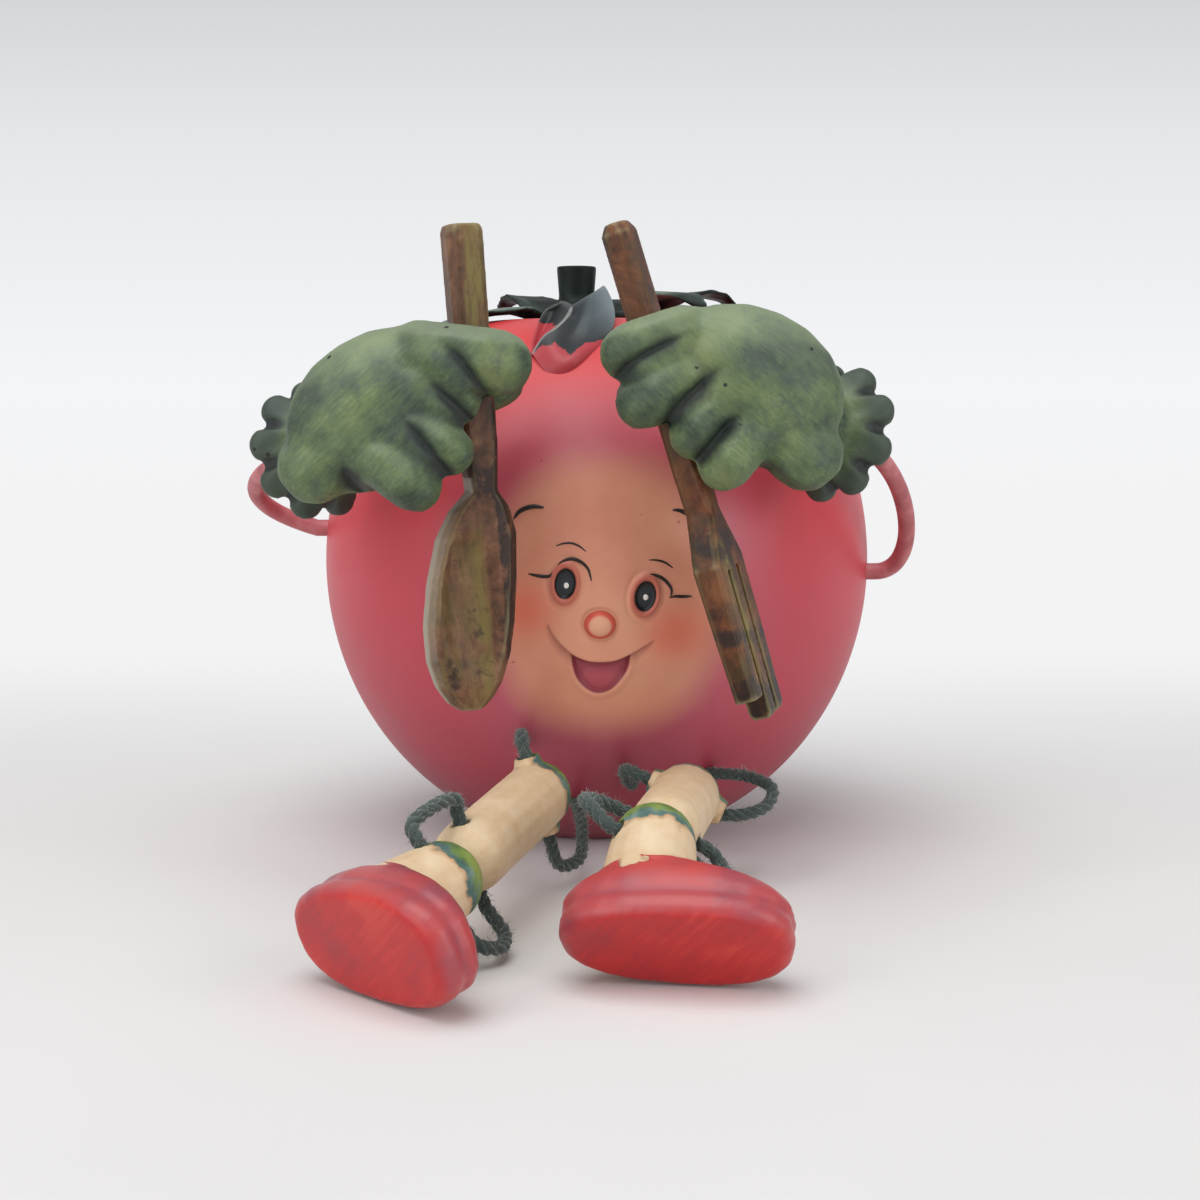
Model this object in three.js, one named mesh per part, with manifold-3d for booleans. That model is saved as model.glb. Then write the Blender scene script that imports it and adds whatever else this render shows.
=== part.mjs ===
// A shelf sitter doll: a cast tomato with a smiling face, a leafy calyx, two bendable wire arms
// whose gloves hold a spoon and a fork, and two jointed legs strung on cotton cord.
// Millimetres, +Z up. The origin is the centre of the flat base, and the face looks along -Y.
// Left and right are as seen from the front, so left is -X.

import * as THREE from 'three';
import { mergeVertices } from 'three/addons/utils/BufferGeometryUtils.js';
import Module from 'manifold-3d';

const wasm = await Module();
wasm.setup();

// Fits
const CLEARANCE = 0.3;
const CORD_CLEARANCE = 0.45;

// Tomato
const BODY_RADIUS = 50;
const BODY_HEIGHT = 93;
const EQUATOR_HEIGHT = 49;
const BASE_RADIUS = 18;
const SHOULDER_RADIUS = 17;
const SHOULDER_POWER = 2;
const DIMPLE_DEPTH = 5;
const BODY_SEGMENTS = 40;

// Face, measured from the nose on the front of the tomato
const NOSE_X = 0.6;
const NOSE_HEIGHT = 42.8;
const NOSE_RADIUS = 2.4;
const NOSE_SINK = 1.2;
const FACE_TILT = THREE.MathUtils.degToRad(10);
const EYE_SPACING = 12.8;
const EYE_RISE = 5.75;
const EYE_WIDTH = 4.4;
const EYE_HEIGHT = 6.2;
const EYE_DEPTH = 0.8;
const MOUTH_DROP = 6.2;
const MOUTH_SHIFT = 1.6;
const MOUTH_WIDTH = 9.3;
const MOUTH_HEIGHT = 5.4;
const MOUTH_SAG = 1.4;
const MOUTH_DEPTH = 1.6;

// Calyx and stem
const CALYX_RADIUS = 11;
const CALYX_THICKNESS = 1.8;
const LEAF_THICKNESS = 1.5;
const LEAF_EDGE = 0.7;
const LEAF_START = 5;
const LEAF_RAISE = 0.4;
const STEM_RADIUS = 3.7;
const STEM_FOOT_RADIUS = 4.6;
const STEM_LENGTH = 10.3;
const STEM_OFFSET = -3.7;
const STEM_PEG_RADIUS = 2;
const STEM_PEG_LENGTH = 1.6;

// Arms
const WIRE_RADIUS = 0.7;
const SLEEVE_RADIUS = 1.5;
const SLEEVE_BORE_RADIUS = WIRE_RADIUS + CLEARANCE;
const ARM_BORE_DEPTH = 10;
const LEFT_ARM_Y = -7;
const RIGHT_ARM_Y = -10;
const LEFT_ARM_HEIGHT = 55.4;
const RIGHT_ARM_HEIGHT = 47.7;
const WRIST_DEPTH = 9;
const ARM_STEPS = 18;

// Hands: how far the handles stand in front of the tomato, and where they are gripped
const HAND_REACH = 10;
const GRIP_HEIGHT = 78.8;
const LEFT_GRIP_X = -18.7;
const RIGHT_GRIP_X = 11.2;
const FINGER_RADIUS = 4.4;
const FINGER_SINK = 3;
const THUMB_RADIUS = 4;
const HEEL_RADIUS = 6.2;
const CUFF_RADIUS = 10.4;
const CUFF_LENGTH = 5;
const CUFF_WAVES = 9;
const CUFF_WAVE_HEIGHT = 1.3;
const CUFF_LOBE = 2.8;
const WRIST_RADIUS = 6.4;

// Utensils
const SPOON_TOP = 26.6;
const SPOON_NECK = -14;
const SPOON_TIP = -47.5;
const SPOON_HANDLE_WIDTH = 5.8;
const SPOON_NECK_WIDTH = 4.4;
const SPOON_BOWL_WIDTH = 14.4;
const SPOON_BOWL_THICKNESS = 5;
const SPOON_DISH_DEPTH = 1.5;
const SPOON_BEND = 4.4;
const FORK_TOP = 28;
const FORK_NECK = -18;
const FORK_ROOT = -26;
const FORK_TIP = -51.5;
const FORK_HANDLE_WIDTH = 6.2;
const FORK_THICKNESS = 4.6;
const FORK_WIDTH = 13.4;
const FORK_SLIT = 1.3;
const FORK_TINES = 3;
const FORK_STAGGER = 4;

// Legs
const THIGH_RADIUS = 5.5;
const THIGH_SPACING = 30;
const SHIN_RADIUS = 6;
const ANKLE_RADIUS = 6.8;
const SHIN_LENGTH = 18;
const BOSS_RADIUS = 2.6;
const BOSS_HEIGHT = 1.1;
const KNEE_GAP = CLEARANCE;

// Shoes
const SHOE_HEEL = 11.6;
const SHOE_TOE = 20.6;
const SHOE_WIDTH = 17;
const SHOE_HEIGHT = 10.5;
const SHOE_SOCKET_DEPTH = 3;
const SHOE_BLUNTNESS = 0.78;
const WELT_GROOVE = 0.6;

// Cord
const CORD_RADIUS = 1.05;
const CORD_STEPS = 26;
const CORD_BORE_DEPTH = 7;

const UP = new THREE.Vector3(0, 0, 1);

function vec(x, y, z) {
  return new THREE.Vector3(x, y, z);
}

// A point a given way from another
function along(start, direction, distance) {
  return start.clone().addScaledVector(direction, distance);
}

// Solids: a mesh with merged corners and outward faces, ready to be joined or cut
function toSolid(geometry) {
  const bare = geometry.clone();
  bare.deleteAttribute('normal');
  bare.deleteAttribute('uv');
  const merged = mergeVertices(bare, 1e-4);
  const places = merged.attributes.position.array;
  const corners = merged.index.array;
  const kept = [];
  let volume = 0;
  for (let i = 0; i < corners.length; i += 3) {
    const [a, b, c] = [corners[i], corners[i + 1], corners[i + 2]];
    if (a !== b && b !== c && c !== a) {
      kept.push([a, b, c]);
      const [p, q, r] = [a, b, c].map((n) => new THREE.Vector3().fromArray(places, 3 * n));
      volume += p.dot(q.cross(r));
    }
  }
  const triangles = kept.map(([a, b, c]) => (volume > 0 ? [a, b, c] : [a, c, b]));
  const vertProperties = Float32Array.from(places);
  const triVerts = Uint32Array.from(triangles.flat());
  return new wasm.Manifold(new wasm.Mesh({ numProp: 3, vertProperties, triVerts }));
}

function toGeometry(solid) {
  const mesh = solid.getMesh();
  const geometry = new THREE.BufferGeometry();
  geometry.setAttribute('position', new THREE.BufferAttribute(mesh.vertProperties, 3));
  geometry.setIndex(new THREE.BufferAttribute(mesh.triVerts, 1));
  geometry.computeVertexNormals();
  return geometry;
}

function shape(added, removed = []) {
  let solid = toSolid(added[0]);
  for (const geometry of added.slice(1)) {
    solid = solid.add(toSolid(geometry));
  }
  for (const geometry of removed) {
    solid = solid.subtract(toSolid(geometry));
  }
  return toGeometry(solid);
}

// A stack of rings of points closed into one skin, with a fan over each end
function loft(rings) {
  const sides = rings[0].length;
  const last = (rings.length - 1) * sides;
  const middle = (ring) => ring.reduce((sum, p) => sum.add(p), vec(0, 0, 0)).divideScalar(sides);
  const points = [...rings.flat(), middle(rings[0]), middle(rings.at(-1))];
  const startFan = rings.length * sides;
  const index = [];
  for (let j = 0; j < sides; j++) {
    const k = (j + 1) % sides;
    for (let base = 0; base < last; base += sides) {
      index.push(base + j, base + k, base + sides + k);
      index.push(base + j, base + sides + k, base + sides + j);
    }
    index.push(startFan, k, j);
    index.push(startFan + 1, last + j, last + k);
  }
  const geometry = new THREE.BufferGeometry().setFromPoints(points);
  geometry.setIndex(index);
  return geometry;
}

// A revolved solid about Z, from a profile of [radius, height] pairs
function revolve(profile, segments) {
  const points = profile.map(([radius, height]) => new THREE.Vector2(radius, height));
  return new THREE.LatheGeometry(points, segments).rotateX(Math.PI / 2);
}

// A round rod from one point to another
function rod(from, to, radius, sides = 12, endRadius = radius) {
  const axis = to.clone().sub(from);
  const geometry = new THREE.CylinderGeometry(endRadius, radius, axis.length(), sides);
  geometry.rotateX(Math.PI / 2);
  geometry.applyQuaternion(new THREE.Quaternion().setFromUnitVectors(UP, axis.clone().normalize()));
  const centre = from.clone().add(to).multiplyScalar(0.5);
  return geometry.translate(centre.x, centre.y, centre.z);
}

function ellipsoid(centre, radii, columns = 16, rows = 10) {
  const geometry = new THREE.SphereGeometry(1, columns, rows).rotateX(Math.PI / 2);
  return geometry.scale(radii.x, radii.y, radii.z).translate(centre.x, centre.y, centre.z);
}

// A round limb along a curve, tapering from one radius to the other, with a dome past each end
function limb(curve, startRadius, endRadius, steps = 4, sides = 8) {
  const frames = curve.computeFrenetFrames(steps);
  const domes = [-0.9, -0.55];
  const stations = [
    ...domes.map((past) => [0, past]),
    ...Array.from({ length: steps + 1 }, (_, i) => [i, 0]),
    ...domes.toReversed().map((past) => [steps, -past]),
  ];
  const rings = stations.map(([i, past]) => {
    const radius = THREE.MathUtils.lerp(startRadius, endRadius, i / steps);
    const girth = radius * Math.sqrt(1 - past ** 2);
    const centre = curve.getPointAt(i / steps).addScaledVector(frames.tangents[i], past * radius);
    const ring = [];
    for (let j = 0; j < sides; j++) {
      const angle = (2 * Math.PI * j) / sides;
      const out = frames.normals[i].clone().multiplyScalar(girth * Math.cos(angle));
      out.addScaledVector(frames.binormals[i], girth * Math.sin(angle));
      ring.push(out.add(centre));
    }
    return ring;
  });
  return loft(rings);
}

// A tube along a route, solid or with a bore
function tube(route, radius, steps, sides, boreRadius = 0) {
  const section = new THREE.Shape();
  const bore = new THREE.Path();
  for (let j = 0; j < sides; j++) {
    const angle = (2 * Math.PI * j) / sides;
    const draw = j === 0 ? 'moveTo' : 'lineTo';
    section[draw](radius * Math.cos(angle), radius * Math.sin(angle));
    bore[draw](boreRadius * Math.cos(-angle), boreRadius * Math.sin(-angle));
  }
  section.closePath();
  bore.closePath();
  if (boreRadius > 0) {
    section.holes.push(bore);
  }
  return new THREE.ExtrudeGeometry(section, { steps, extrudePath: route, bevelEnabled: false });
}

// Places a piece so that its local Z runs along a direction and its local X follows a side vector
function turned(direction, side) {
  const z = direction.clone().normalize();
  const x = side.clone().addScaledVector(z, -side.dot(z)).normalize();
  const y = z.clone().cross(x);
  return new THREE.Quaternion().setFromRotationMatrix(new THREE.Matrix4().makeBasis(x, y, z));
}

const doll = new THREE.Group();

function add(name, geometry, colour, roughness, parent = doll, metalness = 0) {
  const material = new THREE.MeshStandardMaterial({ color: colour, roughness, metalness });
  const mesh = new THREE.Mesh(geometry, material);
  mesh.name = name;
  parent.add(mesh);
  return mesh;
}

// Tomato body: a revolved fruit on a flat base, with round shoulders and a dimple for the calyx
const LOWER_RISE = EQUATOR_HEIGHT / Math.sqrt(1 - (BASE_RADIUS / BODY_RADIUS) ** 2);

function bodyRadiusAt(height) {
  return BODY_RADIUS * Math.sqrt(1 - ((EQUATOR_HEIGHT - height) / LOWER_RISE) ** 2);
}

function bodyTopAt(radius) {
  if (radius < SHOULDER_RADIUS) {
    return BODY_HEIGHT - DIMPLE_DEPTH * (1 - (radius / SHOULDER_RADIUS) ** 2) ** 2;
  }
  const share = (radius - SHOULDER_RADIUS) / (BODY_RADIUS - SHOULDER_RADIUS);
  const rise = (1 - Math.min(1, share) ** SHOULDER_POWER) ** (1 / SHOULDER_POWER);
  return EQUATOR_HEIGHT + (BODY_HEIGHT - EQUATOR_HEIGHT) * rise;
}

function bodyFrontAt(x, height) {
  return -Math.sqrt(bodyRadiusAt(height) ** 2 - x ** 2);
}

function bodyProfile() {
  const profile = [[0, 0]];
  const lowerRings = 7;
  const upperRings = 8;
  const dimpleRings = 6;
  for (let i = 0; i <= lowerRings; i++) {
    const height = EQUATOR_HEIGHT * Math.sin((Math.PI / 2) * (i / lowerRings)) ** 1.5;
    profile.push([bodyRadiusAt(height), height]);
  }
  for (let i = 1; i <= upperRings; i++) {
    const share = Math.cos((Math.PI / 2) * (i / upperRings));
    const radius = SHOULDER_RADIUS + (BODY_RADIUS - SHOULDER_RADIUS) * share;
    profile.push([radius, bodyTopAt(radius)]);
  }
  for (let i = 1; i <= dimpleRings; i++) {
    const radius = SHOULDER_RADIUS * (1 - i / dimpleRings);
    profile.push([radius, bodyTopAt(radius)]);
  }
  return profile;
}

// A place on the face, given across and up from the nose in the tilted face's own directions
function onFace(across, up) {
  const x = NOSE_X + across * Math.cos(FACE_TILT) + up * Math.sin(FACE_TILT);
  const z = NOSE_HEIGHT - across * Math.sin(FACE_TILT) + up * Math.cos(FACE_TILT);
  return vec(x, bodyFrontAt(x, z), z);
}

function eyeSocket(side) {
  const centre = onFace((side * EYE_SPACING) / 2, EYE_RISE);
  return ellipsoid(centre, vec(EYE_WIDTH / 2, EYE_DEPTH, EYE_HEIGHT / 2), 14, 8);
}

function mouthCut() {
  const half = MOUTH_WIDTH / 2;
  const outline = new THREE.Shape();
  outline.moveTo(-half, 0);
  outline.quadraticCurveTo(0, -2 * MOUTH_SAG, half, 0);
  outline.bezierCurveTo(0.8 * half, -MOUTH_HEIGHT - 1, -0.8 * half, -MOUTH_HEIGHT - 1, -half, 0);
  const geometry = new THREE.ExtrudeGeometry(outline, {
    depth: 2 * MOUTH_DEPTH,
    bevelEnabled: false,
    curveSegments: 7,
  });
  geometry.rotateX(Math.PI / 2).rotateY(FACE_TILT);
  const centre = onFace(MOUTH_SHIFT, -MOUTH_DROP);
  return geometry.translate(centre.x, centre.y + MOUTH_DEPTH, centre.z);
}

// The inner end of an arm, which turns in its bore in the side of the tomato
function armStub(side) {
  const y = side < 0 ? LEFT_ARM_Y : RIGHT_ARM_Y;
  const height = side < 0 ? LEFT_ARM_HEIGHT : RIGHT_ARM_HEIGHT;
  const surface = Math.sqrt(BODY_RADIUS ** 2 - y ** 2);
  return vec(side * (surface - ARM_BORE_DEPTH), y, height);
}

function armBore(side) {
  const deep = armStub(side);
  return rod(
    deep.clone().add(vec(-side * CLEARANCE, 0, 0)),
    deep.clone().setX(side * (BODY_RADIUS + SLEEVE_RADIUS)),
    SLEEVE_RADIUS + CLEARANCE,
  );
}

// A cord bore runs straight back from the lower front of the tomato
function cordBore(mouth) {
  return rod(
    vec(mouth.x, mouth.y + CORD_BORE_DEPTH + CLEARANCE, mouth.z),
    vec(mouth.x, mouth.y - 4 * CORD_RADIUS, mouth.z),
    CORD_RADIUS + CORD_CLEARANCE,
    8,
  );
}

function cordMouth(x, height) {
  return vec(x, bodyFrontAt(x, height), height);
}

const HIP_MOUTHS = {
  left: [cordMouth(-12.5, 22), cordMouth(-3.5, 10.5)],
  right: [cordMouth(19, 15.5), cordMouth(6, 14)],
};

function bodyGeometry() {
  const nose = onFace(0, 0);
  nose.y += NOSE_SINK;
  const noseRadii = vec(NOSE_RADIUS, NOSE_RADIUS, NOSE_RADIUS * 0.92);
  const bores = [
    armBore(-1),
    armBore(1),
    ...HIP_MOUTHS.left.map(cordBore),
    ...HIP_MOUTHS.right.map(cordBore),
  ];
  return shape(
    [revolve(bodyProfile(), BODY_SEGMENTS), ellipsoid(nose, noseRadii, 14, 8)],
    [eyeSocket(-1), eyeSocket(1), mouthCut(), ...bores],
  );
}

add('tomato_body', bodyGeometry(), 0xc9384a, 0.45);

// Calyx: a disc seated in the dimple, with six curled leaves fused to it
const LEAVES = [
  { azimuth: -100, length: 34.5, width: 19, tip: 0.5, lift: 2.4, curl: -1.6 },
  { azimuth: 200, length: 33, width: 19, tip: 0.22, lift: 1.6, curl: 0.7 },
  { azimuth: 138, length: 25, width: 15, tip: 0.14, lift: 3.4, curl: 0.8 },
  { azimuth: 78, length: 25, width: 14, tip: 0.14, lift: 3, curl: 1 },
  { azimuth: 20, length: 29, width: 15, tip: 0.14, lift: 4.4, curl: 0.8 },
  { azimuth: -47, length: 27, width: 15, tip: 0.2, lift: 2.9, curl: 0.5 },
];

function leafGeometry({ azimuth, length, width, tip, lift, curl }) {
  const turn = THREE.MathUtils.degToRad(azimuth);
  const outward = vec(Math.cos(turn), Math.sin(turn), 0);
  const across = vec(-Math.sin(turn), Math.cos(turn), 0);
  const steps = 6;
  const strips = [-1, -0.45, 0.45, 1];
  const rings = [];
  for (let i = 0; i <= steps; i++) {
    const t = i / steps;
    const reach = LEAF_START + (length - LEAF_START) * t;
    const spread = (width / 2) * (tip + (1 - tip) * Math.sin(Math.PI * (0.28 + 0.72 * t)));
    const place = (strip, face) => {
      const thick = THREE.MathUtils.lerp(LEAF_THICKNESS, LEAF_EDGE, Math.abs(strip)) / 2;
      const seat = bodyTopAt(Math.hypot(reach, strip * spread)) + CLEARANCE + LEAF_RAISE;
      const bow = lift * Math.sin(0.75 * Math.PI * t ** 1.6) + curl * t * strip ** 2;
      const height = seat + LEAF_THICKNESS / 2 + bow + face * thick;
      return outward.clone().multiplyScalar(reach).addScaledVector(across, strip * spread).setZ(height);
    };
    const over = strips.map((strip) => place(strip, 1));
    const under = strips.map((strip) => place(-strip, -1));
    rings.push([...over, ...under]);
  }
  return loft(rings);
}

const CALYX_PAD = STEM_FOOT_RADIUS - STEM_OFFSET + CLEARANCE;
const CALYX_TOP = bodyTopAt(CALYX_PAD) + CLEARANCE + CALYX_THICKNESS;

function calyxGeometry() {
  const rings = 4;
  const profile = [[0, bodyTopAt(0) + CLEARANCE]];
  for (let i = 1; i <= rings; i++) {
    const radius = (CALYX_RADIUS * i) / rings;
    profile.push([radius, bodyTopAt(radius) + CLEARANCE]);
  }
  profile.push([CALYX_RADIUS, bodyTopAt(CALYX_RADIUS) + CLEARANCE + LEAF_THICKNESS]);
  profile.push([CALYX_PAD, CALYX_TOP]);
  profile.push([0, CALYX_TOP]);
  const socket = rod(
    vec(STEM_OFFSET, 0, CALYX_TOP - STEM_PEG_LENGTH - CLEARANCE),
    vec(STEM_OFFSET, 0, CALYX_TOP + STEM_PEG_LENGTH + BODY_HEIGHT),
    STEM_PEG_RADIUS + CLEARANCE,
  );
  return shape([revolve(profile, 20), ...LEAVES.map(leafGeometry)], [socket]);
}

add('calyx', calyxGeometry(), 0x2f4a38, 0.6);

// Stem: a cut stub on a flared foot, pegged into the calyx
function stemGeometry() {
  const foot = CALYX_TOP + CLEARANCE;
  const profile = [
    [0, CALYX_TOP - STEM_PEG_LENGTH],
    [STEM_PEG_RADIUS, CALYX_TOP - STEM_PEG_LENGTH],
    [STEM_PEG_RADIUS, foot],
    [STEM_FOOT_RADIUS, foot],
    [STEM_FOOT_RADIUS, foot + 0.15 * STEM_LENGTH],
    [0.88 * STEM_RADIUS, foot + 0.45 * STEM_LENGTH],
    [STEM_RADIUS, foot + STEM_LENGTH],
    [0, foot + STEM_LENGTH],
  ];
  return shape([revolve(profile, 18)]);
}

add('stem', stemGeometry(), 0x2c4b2f, 0.65).position.x = STEM_OFFSET;

// Utensil handles: a stack of rectangles with cut corners along the handle's own Z
function barRing(halfWidth, halfDepth, corner, height, shift = 0) {
  const [a, b, c] = [halfWidth, halfDepth, corner];
  const corners = [
    [a, b - c],
    [a - c, b],
    [c - a, b],
    [-a, b - c],
    [-a, c - b],
    [c - a, -b],
    [a - c, -b],
    [a, c - b],
  ];
  return corners.map(([x, y]) => vec(x + shift, y, height));
}

function spoonGeometry() {
  const handle = SPOON_HANDLE_WIDTH / 2;
  const neck = SPOON_NECK_WIDTH / 2;
  const bowl = SPOON_BOWL_WIDTH / 2;
  const deep = SPOON_BOWL_THICKNESS / 2;
  const at = (t) => THREE.MathUtils.lerp(SPOON_NECK, SPOON_TIP, t);
  const rings = [
    barRing(neck, deep, 0.3 * deep, SPOON_NECK),
    barRing(handle * 0.94, handle * 0.94, 0.3 * handle, 0.5 * SPOON_NECK),
    barRing(handle, handle, 0.35 * handle, SPOON_TOP - 1),
    barRing(0.88 * handle, 0.88 * handle, 0.35 * handle, SPOON_TOP),
  ].reverse();
  const top = [[0.08, 0.66], [0.2, 0.88], [0.4, 0.98], [0.6, 1]];
  const end = [[0.76, 0.92], [0.88, 0.74], [0.96, 0.5], [1, 0.24]];
  for (const [t, share] of [...top, ...end]) {
    const half = Math.max(bowl * share, 1);
    const bend = -SPOON_BEND * Math.sin((Math.PI / 2) * t);
    rings.push(barRing(half, deep * (0.75 + 0.25 * share), Math.min(0.6 * deep, 0.5 * half), at(t), bend));
  }
  const front = vec(-0.75 * SPOON_BEND, -2 * deep + SPOON_DISH_DEPTH, at(0.52));
  const dish = ellipsoid(front, vec(0.8 * bowl, deep, 0.4 * (SPOON_NECK - SPOON_TIP)), 14, 8);
  return shape([loft(rings.map((ring) => ring.toReversed()))], [dish]);
}

function forkGeometry() {
  const handle = FORK_HANDLE_WIDTH / 2;
  const thick = FORK_THICKNESS / 2;
  const wide = FORK_WIDTH / 2;
  const rings = [
    barRing(0.7 * handle, 0.7 * thick, 0.5 * thick, FORK_TOP),
    barRing(handle, thick, 0.5 * thick, FORK_TOP - 1.6),
    barRing(0.94 * handle, thick, 0.4 * thick, 0.6 * FORK_NECK),
    barRing(0.8 * handle, thick, 0.35 * thick, FORK_NECK),
    barRing(wide, thick, 0.3 * thick, FORK_ROOT),
    barRing(wide, 0.9 * thick, 0.3 * thick, 0.5 * (FORK_ROOT + FORK_TIP)),
    barRing(0.96 * wide, 0.8 * thick, 0.3 * thick, FORK_TIP + 1),
    barRing(0.92 * wide, 0.6 * thick, 0.3 * thick, FORK_TIP),
  ];
  const slits = [];
  for (let i = 1; i < FORK_TINES; i++) {
    const place = -wide + (FORK_WIDTH * i) / FORK_TINES;
    const slit = new THREE.BoxGeometry(FORK_SLIT, 2 * FORK_THICKNESS, FORK_ROOT - FORK_TIP);
    slits.push(slit.translate(place, 0, 0.5 * (FORK_ROOT + FORK_TIP) - FORK_SLIT));
  }
  const tine = FORK_WIDTH / FORK_TINES;
  const short = new THREE.BoxGeometry(2 * tine, 2 * FORK_THICKNESS, 2 * FORK_STAGGER);
  slits.push(short.translate(-wide, 0, FORK_TIP));
  return shape([loft(rings.map((ring) => ring.toReversed()))], slits);
}

// The square way that a glove leaves for a handle, whose halves are given
function handleWay(halfWidth, halfDepth, turn) {
  const length = 4 * (SPOON_TOP - SPOON_NECK);
  const way = new THREE.BoxGeometry(2 * (halfWidth + CLEARANCE), 2 * (halfDepth + CLEARANCE), length);
  return way.rotateZ(turn);
}

// A ruffled cuff: a ring round the wrist whose rim runs in round lobes, along its own Z
function cuffGeometry() {
  const sides = 6 * CUFF_WAVES;
  const profile = [
    [0.55 * CUFF_RADIUS, CUFF_LENGTH],
    [0.8 * CUFF_RADIUS, 0.75 * CUFF_LENGTH],
    [CUFF_RADIUS, 0.3 * CUFF_LENGTH],
    [0.94 * CUFF_RADIUS, -0.1 * CUFF_LENGTH],
    [0.5 * CUFF_RADIUS, 0],
  ];
  const rings = profile.map(([radius, height]) => {
    const ring = [];
    for (let j = 0; j < sides; j++) {
      const angle = (2 * Math.PI * j) / sides;
      const rim = (radius / CUFF_RADIUS) ** 2;
      const lobe = Math.abs(Math.cos((CUFF_WAVES * angle) / 2)) - 0.6;
      const out = radius + CUFF_LOBE * rim * lobe;
      const rise = height - CUFF_WAVE_HEIGHT * rim * Math.cos(CUFF_WAVES * angle);
      ring.push(vec(out * Math.cos(angle), out * Math.sin(angle), rise));
    }
    return ring.reverse();
  });
  return loft(rings);
}

// Hands, in a frame at the grip with Z up the handle, X towards the fingertips and -Y to the front.
// Fingers list the root and the tip across and up from the grip, and the thickness as a share, from
// the first finger down.
const LEFT_HAND = {
  palm: vec(-14.3, -2.6, -0.5),
  palmRadii: vec(15.6, 9, 11.6),
  palmTurn: THREE.MathUtils.degToRad(-28),
  heel: vec(-24.6, -3, -8.2),
  cuff: vec(-27.8, 18, -6.4),
  wrist: vec(0.6, -0.78, 0.12),
  fingers: [
    { root: [-8, 7.6], tip: [4.6, 5.2], share: 1.2 },
    { root: [-10.8, 3.8], tip: [-2.2, 0], share: 0.88 },
    { root: [-12.3, -1.6], tip: [-3.9, -7.3], share: 0.94 },
    { root: [-17, -5.2], tip: [-9.4, -12.2], share: 0.98 },
  ],
};
const RIGHT_HAND = {
  palm: vec(-12, -2.6, -1.4),
  palmRadii: vec(15.4, 9, 12),
  palmTurn: THREE.MathUtils.degToRad(-40),
  heel: vec(-17.4, -3, -13.6),
  cuff: vec(-24.4, 15, -13),
  wrist: vec(0.56, -0.73, 0.39),
  fingers: [
    { root: [-5.6, 8.8], tip: [4, 8.6], share: 1.06 },
    { root: [-7.3, 2.8], tip: [4.1, 0.9], share: 1 },
    { root: [-8.9, -1.9], tip: [-1.9, -5.9], share: 0.94 },
    { root: [-11.7, -6.5], tip: [-5, -11.6], share: 1 },
  ],
};

function fingerGeometry({ root, tip, share }, front) {
  const start = vec(root[0], front + FINGER_SINK, root[1]);
  const knuckle = vec((root[0] + tip[0]) / 2, front - 5.2, (root[1] + tip[1]) / 2);
  const end = vec(tip[0], front, tip[1]);
  const radius = FINGER_RADIUS * share;
  return limb(new THREE.QuadraticBezierCurve3(start, knuckle, end), radius, radius);
}

function palmGeometry(hand) {
  const palm = ellipsoid(vec(0, 0, 0), hand.palmRadii, 16, 9).rotateY(hand.palmTurn);
  return palm.translate(hand.palm.x, hand.palm.y, hand.palm.z);
}

function gloveGeometry(hand, halfWidth, halfDepth, turn) {
  const wristwards = hand.wrist.clone().normalize();
  const front = -(halfDepth + CLEARANCE) - 0.75 * FINGER_RADIUS;
  const forearm = new THREE.LineCurve3(hand.cuff, hand.palm);
  const thumbRoot = vec(hand.palm.x, halfDepth + THUMB_RADIUS - 2, hand.palm.z - 3);
  const thumbBend = vec(0.3 * hand.palm.x, halfDepth + THUMB_RADIUS + 3, hand.palm.z);
  const thumbTip = vec(halfWidth + 1, halfDepth + 0.8 * THUMB_RADIUS, hand.palm.z + 3);
  const thumb = new THREE.QuadraticBezierCurve3(thumbRoot, thumbBend, thumbTip);
  const heelCurve = new THREE.LineCurve3(hand.palm, hand.heel);
  const cuff = cuffGeometry().applyQuaternion(turned(wristwards, UP));
  cuff.translate(hand.cuff.x, hand.cuff.y, hand.cuff.z);
  const added = [
    palmGeometry(hand),
    limb(forearm, WRIST_RADIUS, WRIST_RADIUS + 1, 2, 10),
    limb(heelCurve, HEEL_RADIUS, HEEL_RADIUS, 2),
    limb(thumb, THUMB_RADIUS, THUMB_RADIUS),
    cuff,
    ...hand.fingers.map((finger) => fingerGeometry(finger, front)),
  ];
  const socket = rod(
    hand.cuff.clone().addScaledVector(wristwards, -3 * CUFF_LENGTH),
    hand.cuff.clone().addScaledVector(wristwards, WRIST_DEPTH + CLEARANCE),
    SLEEVE_RADIUS + CLEARANCE,
  );
  return shape(added, [socket, handleWay(halfWidth, halfDepth, turn)]);
}

// Mirrors a hand's sizes into a geometry for the other side of the doll
function mirrored(geometry) {
  const flipped = geometry.clone().scale(-1, 1, 1);
  return toGeometry(toSolid(flipped));
}

const GRIP_Y = -(BODY_RADIUS + HAND_REACH);
const LEFT_LEAN = THREE.MathUtils.degToRad(-4);
const RIGHT_LEAN = THREE.MathUtils.degToRad(-17);
const SPOON_TURN = THREE.MathUtils.degToRad(20);
const FORK_TURN = THREE.MathUtils.degToRad(69);

function handGroup(x, lean) {
  const group = new THREE.Group();
  group.position.set(x, GRIP_Y, GRIP_HEIGHT);
  group.rotation.y = lean;
  group.updateMatrixWorld();
  doll.add(group);
  return group;
}

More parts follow.
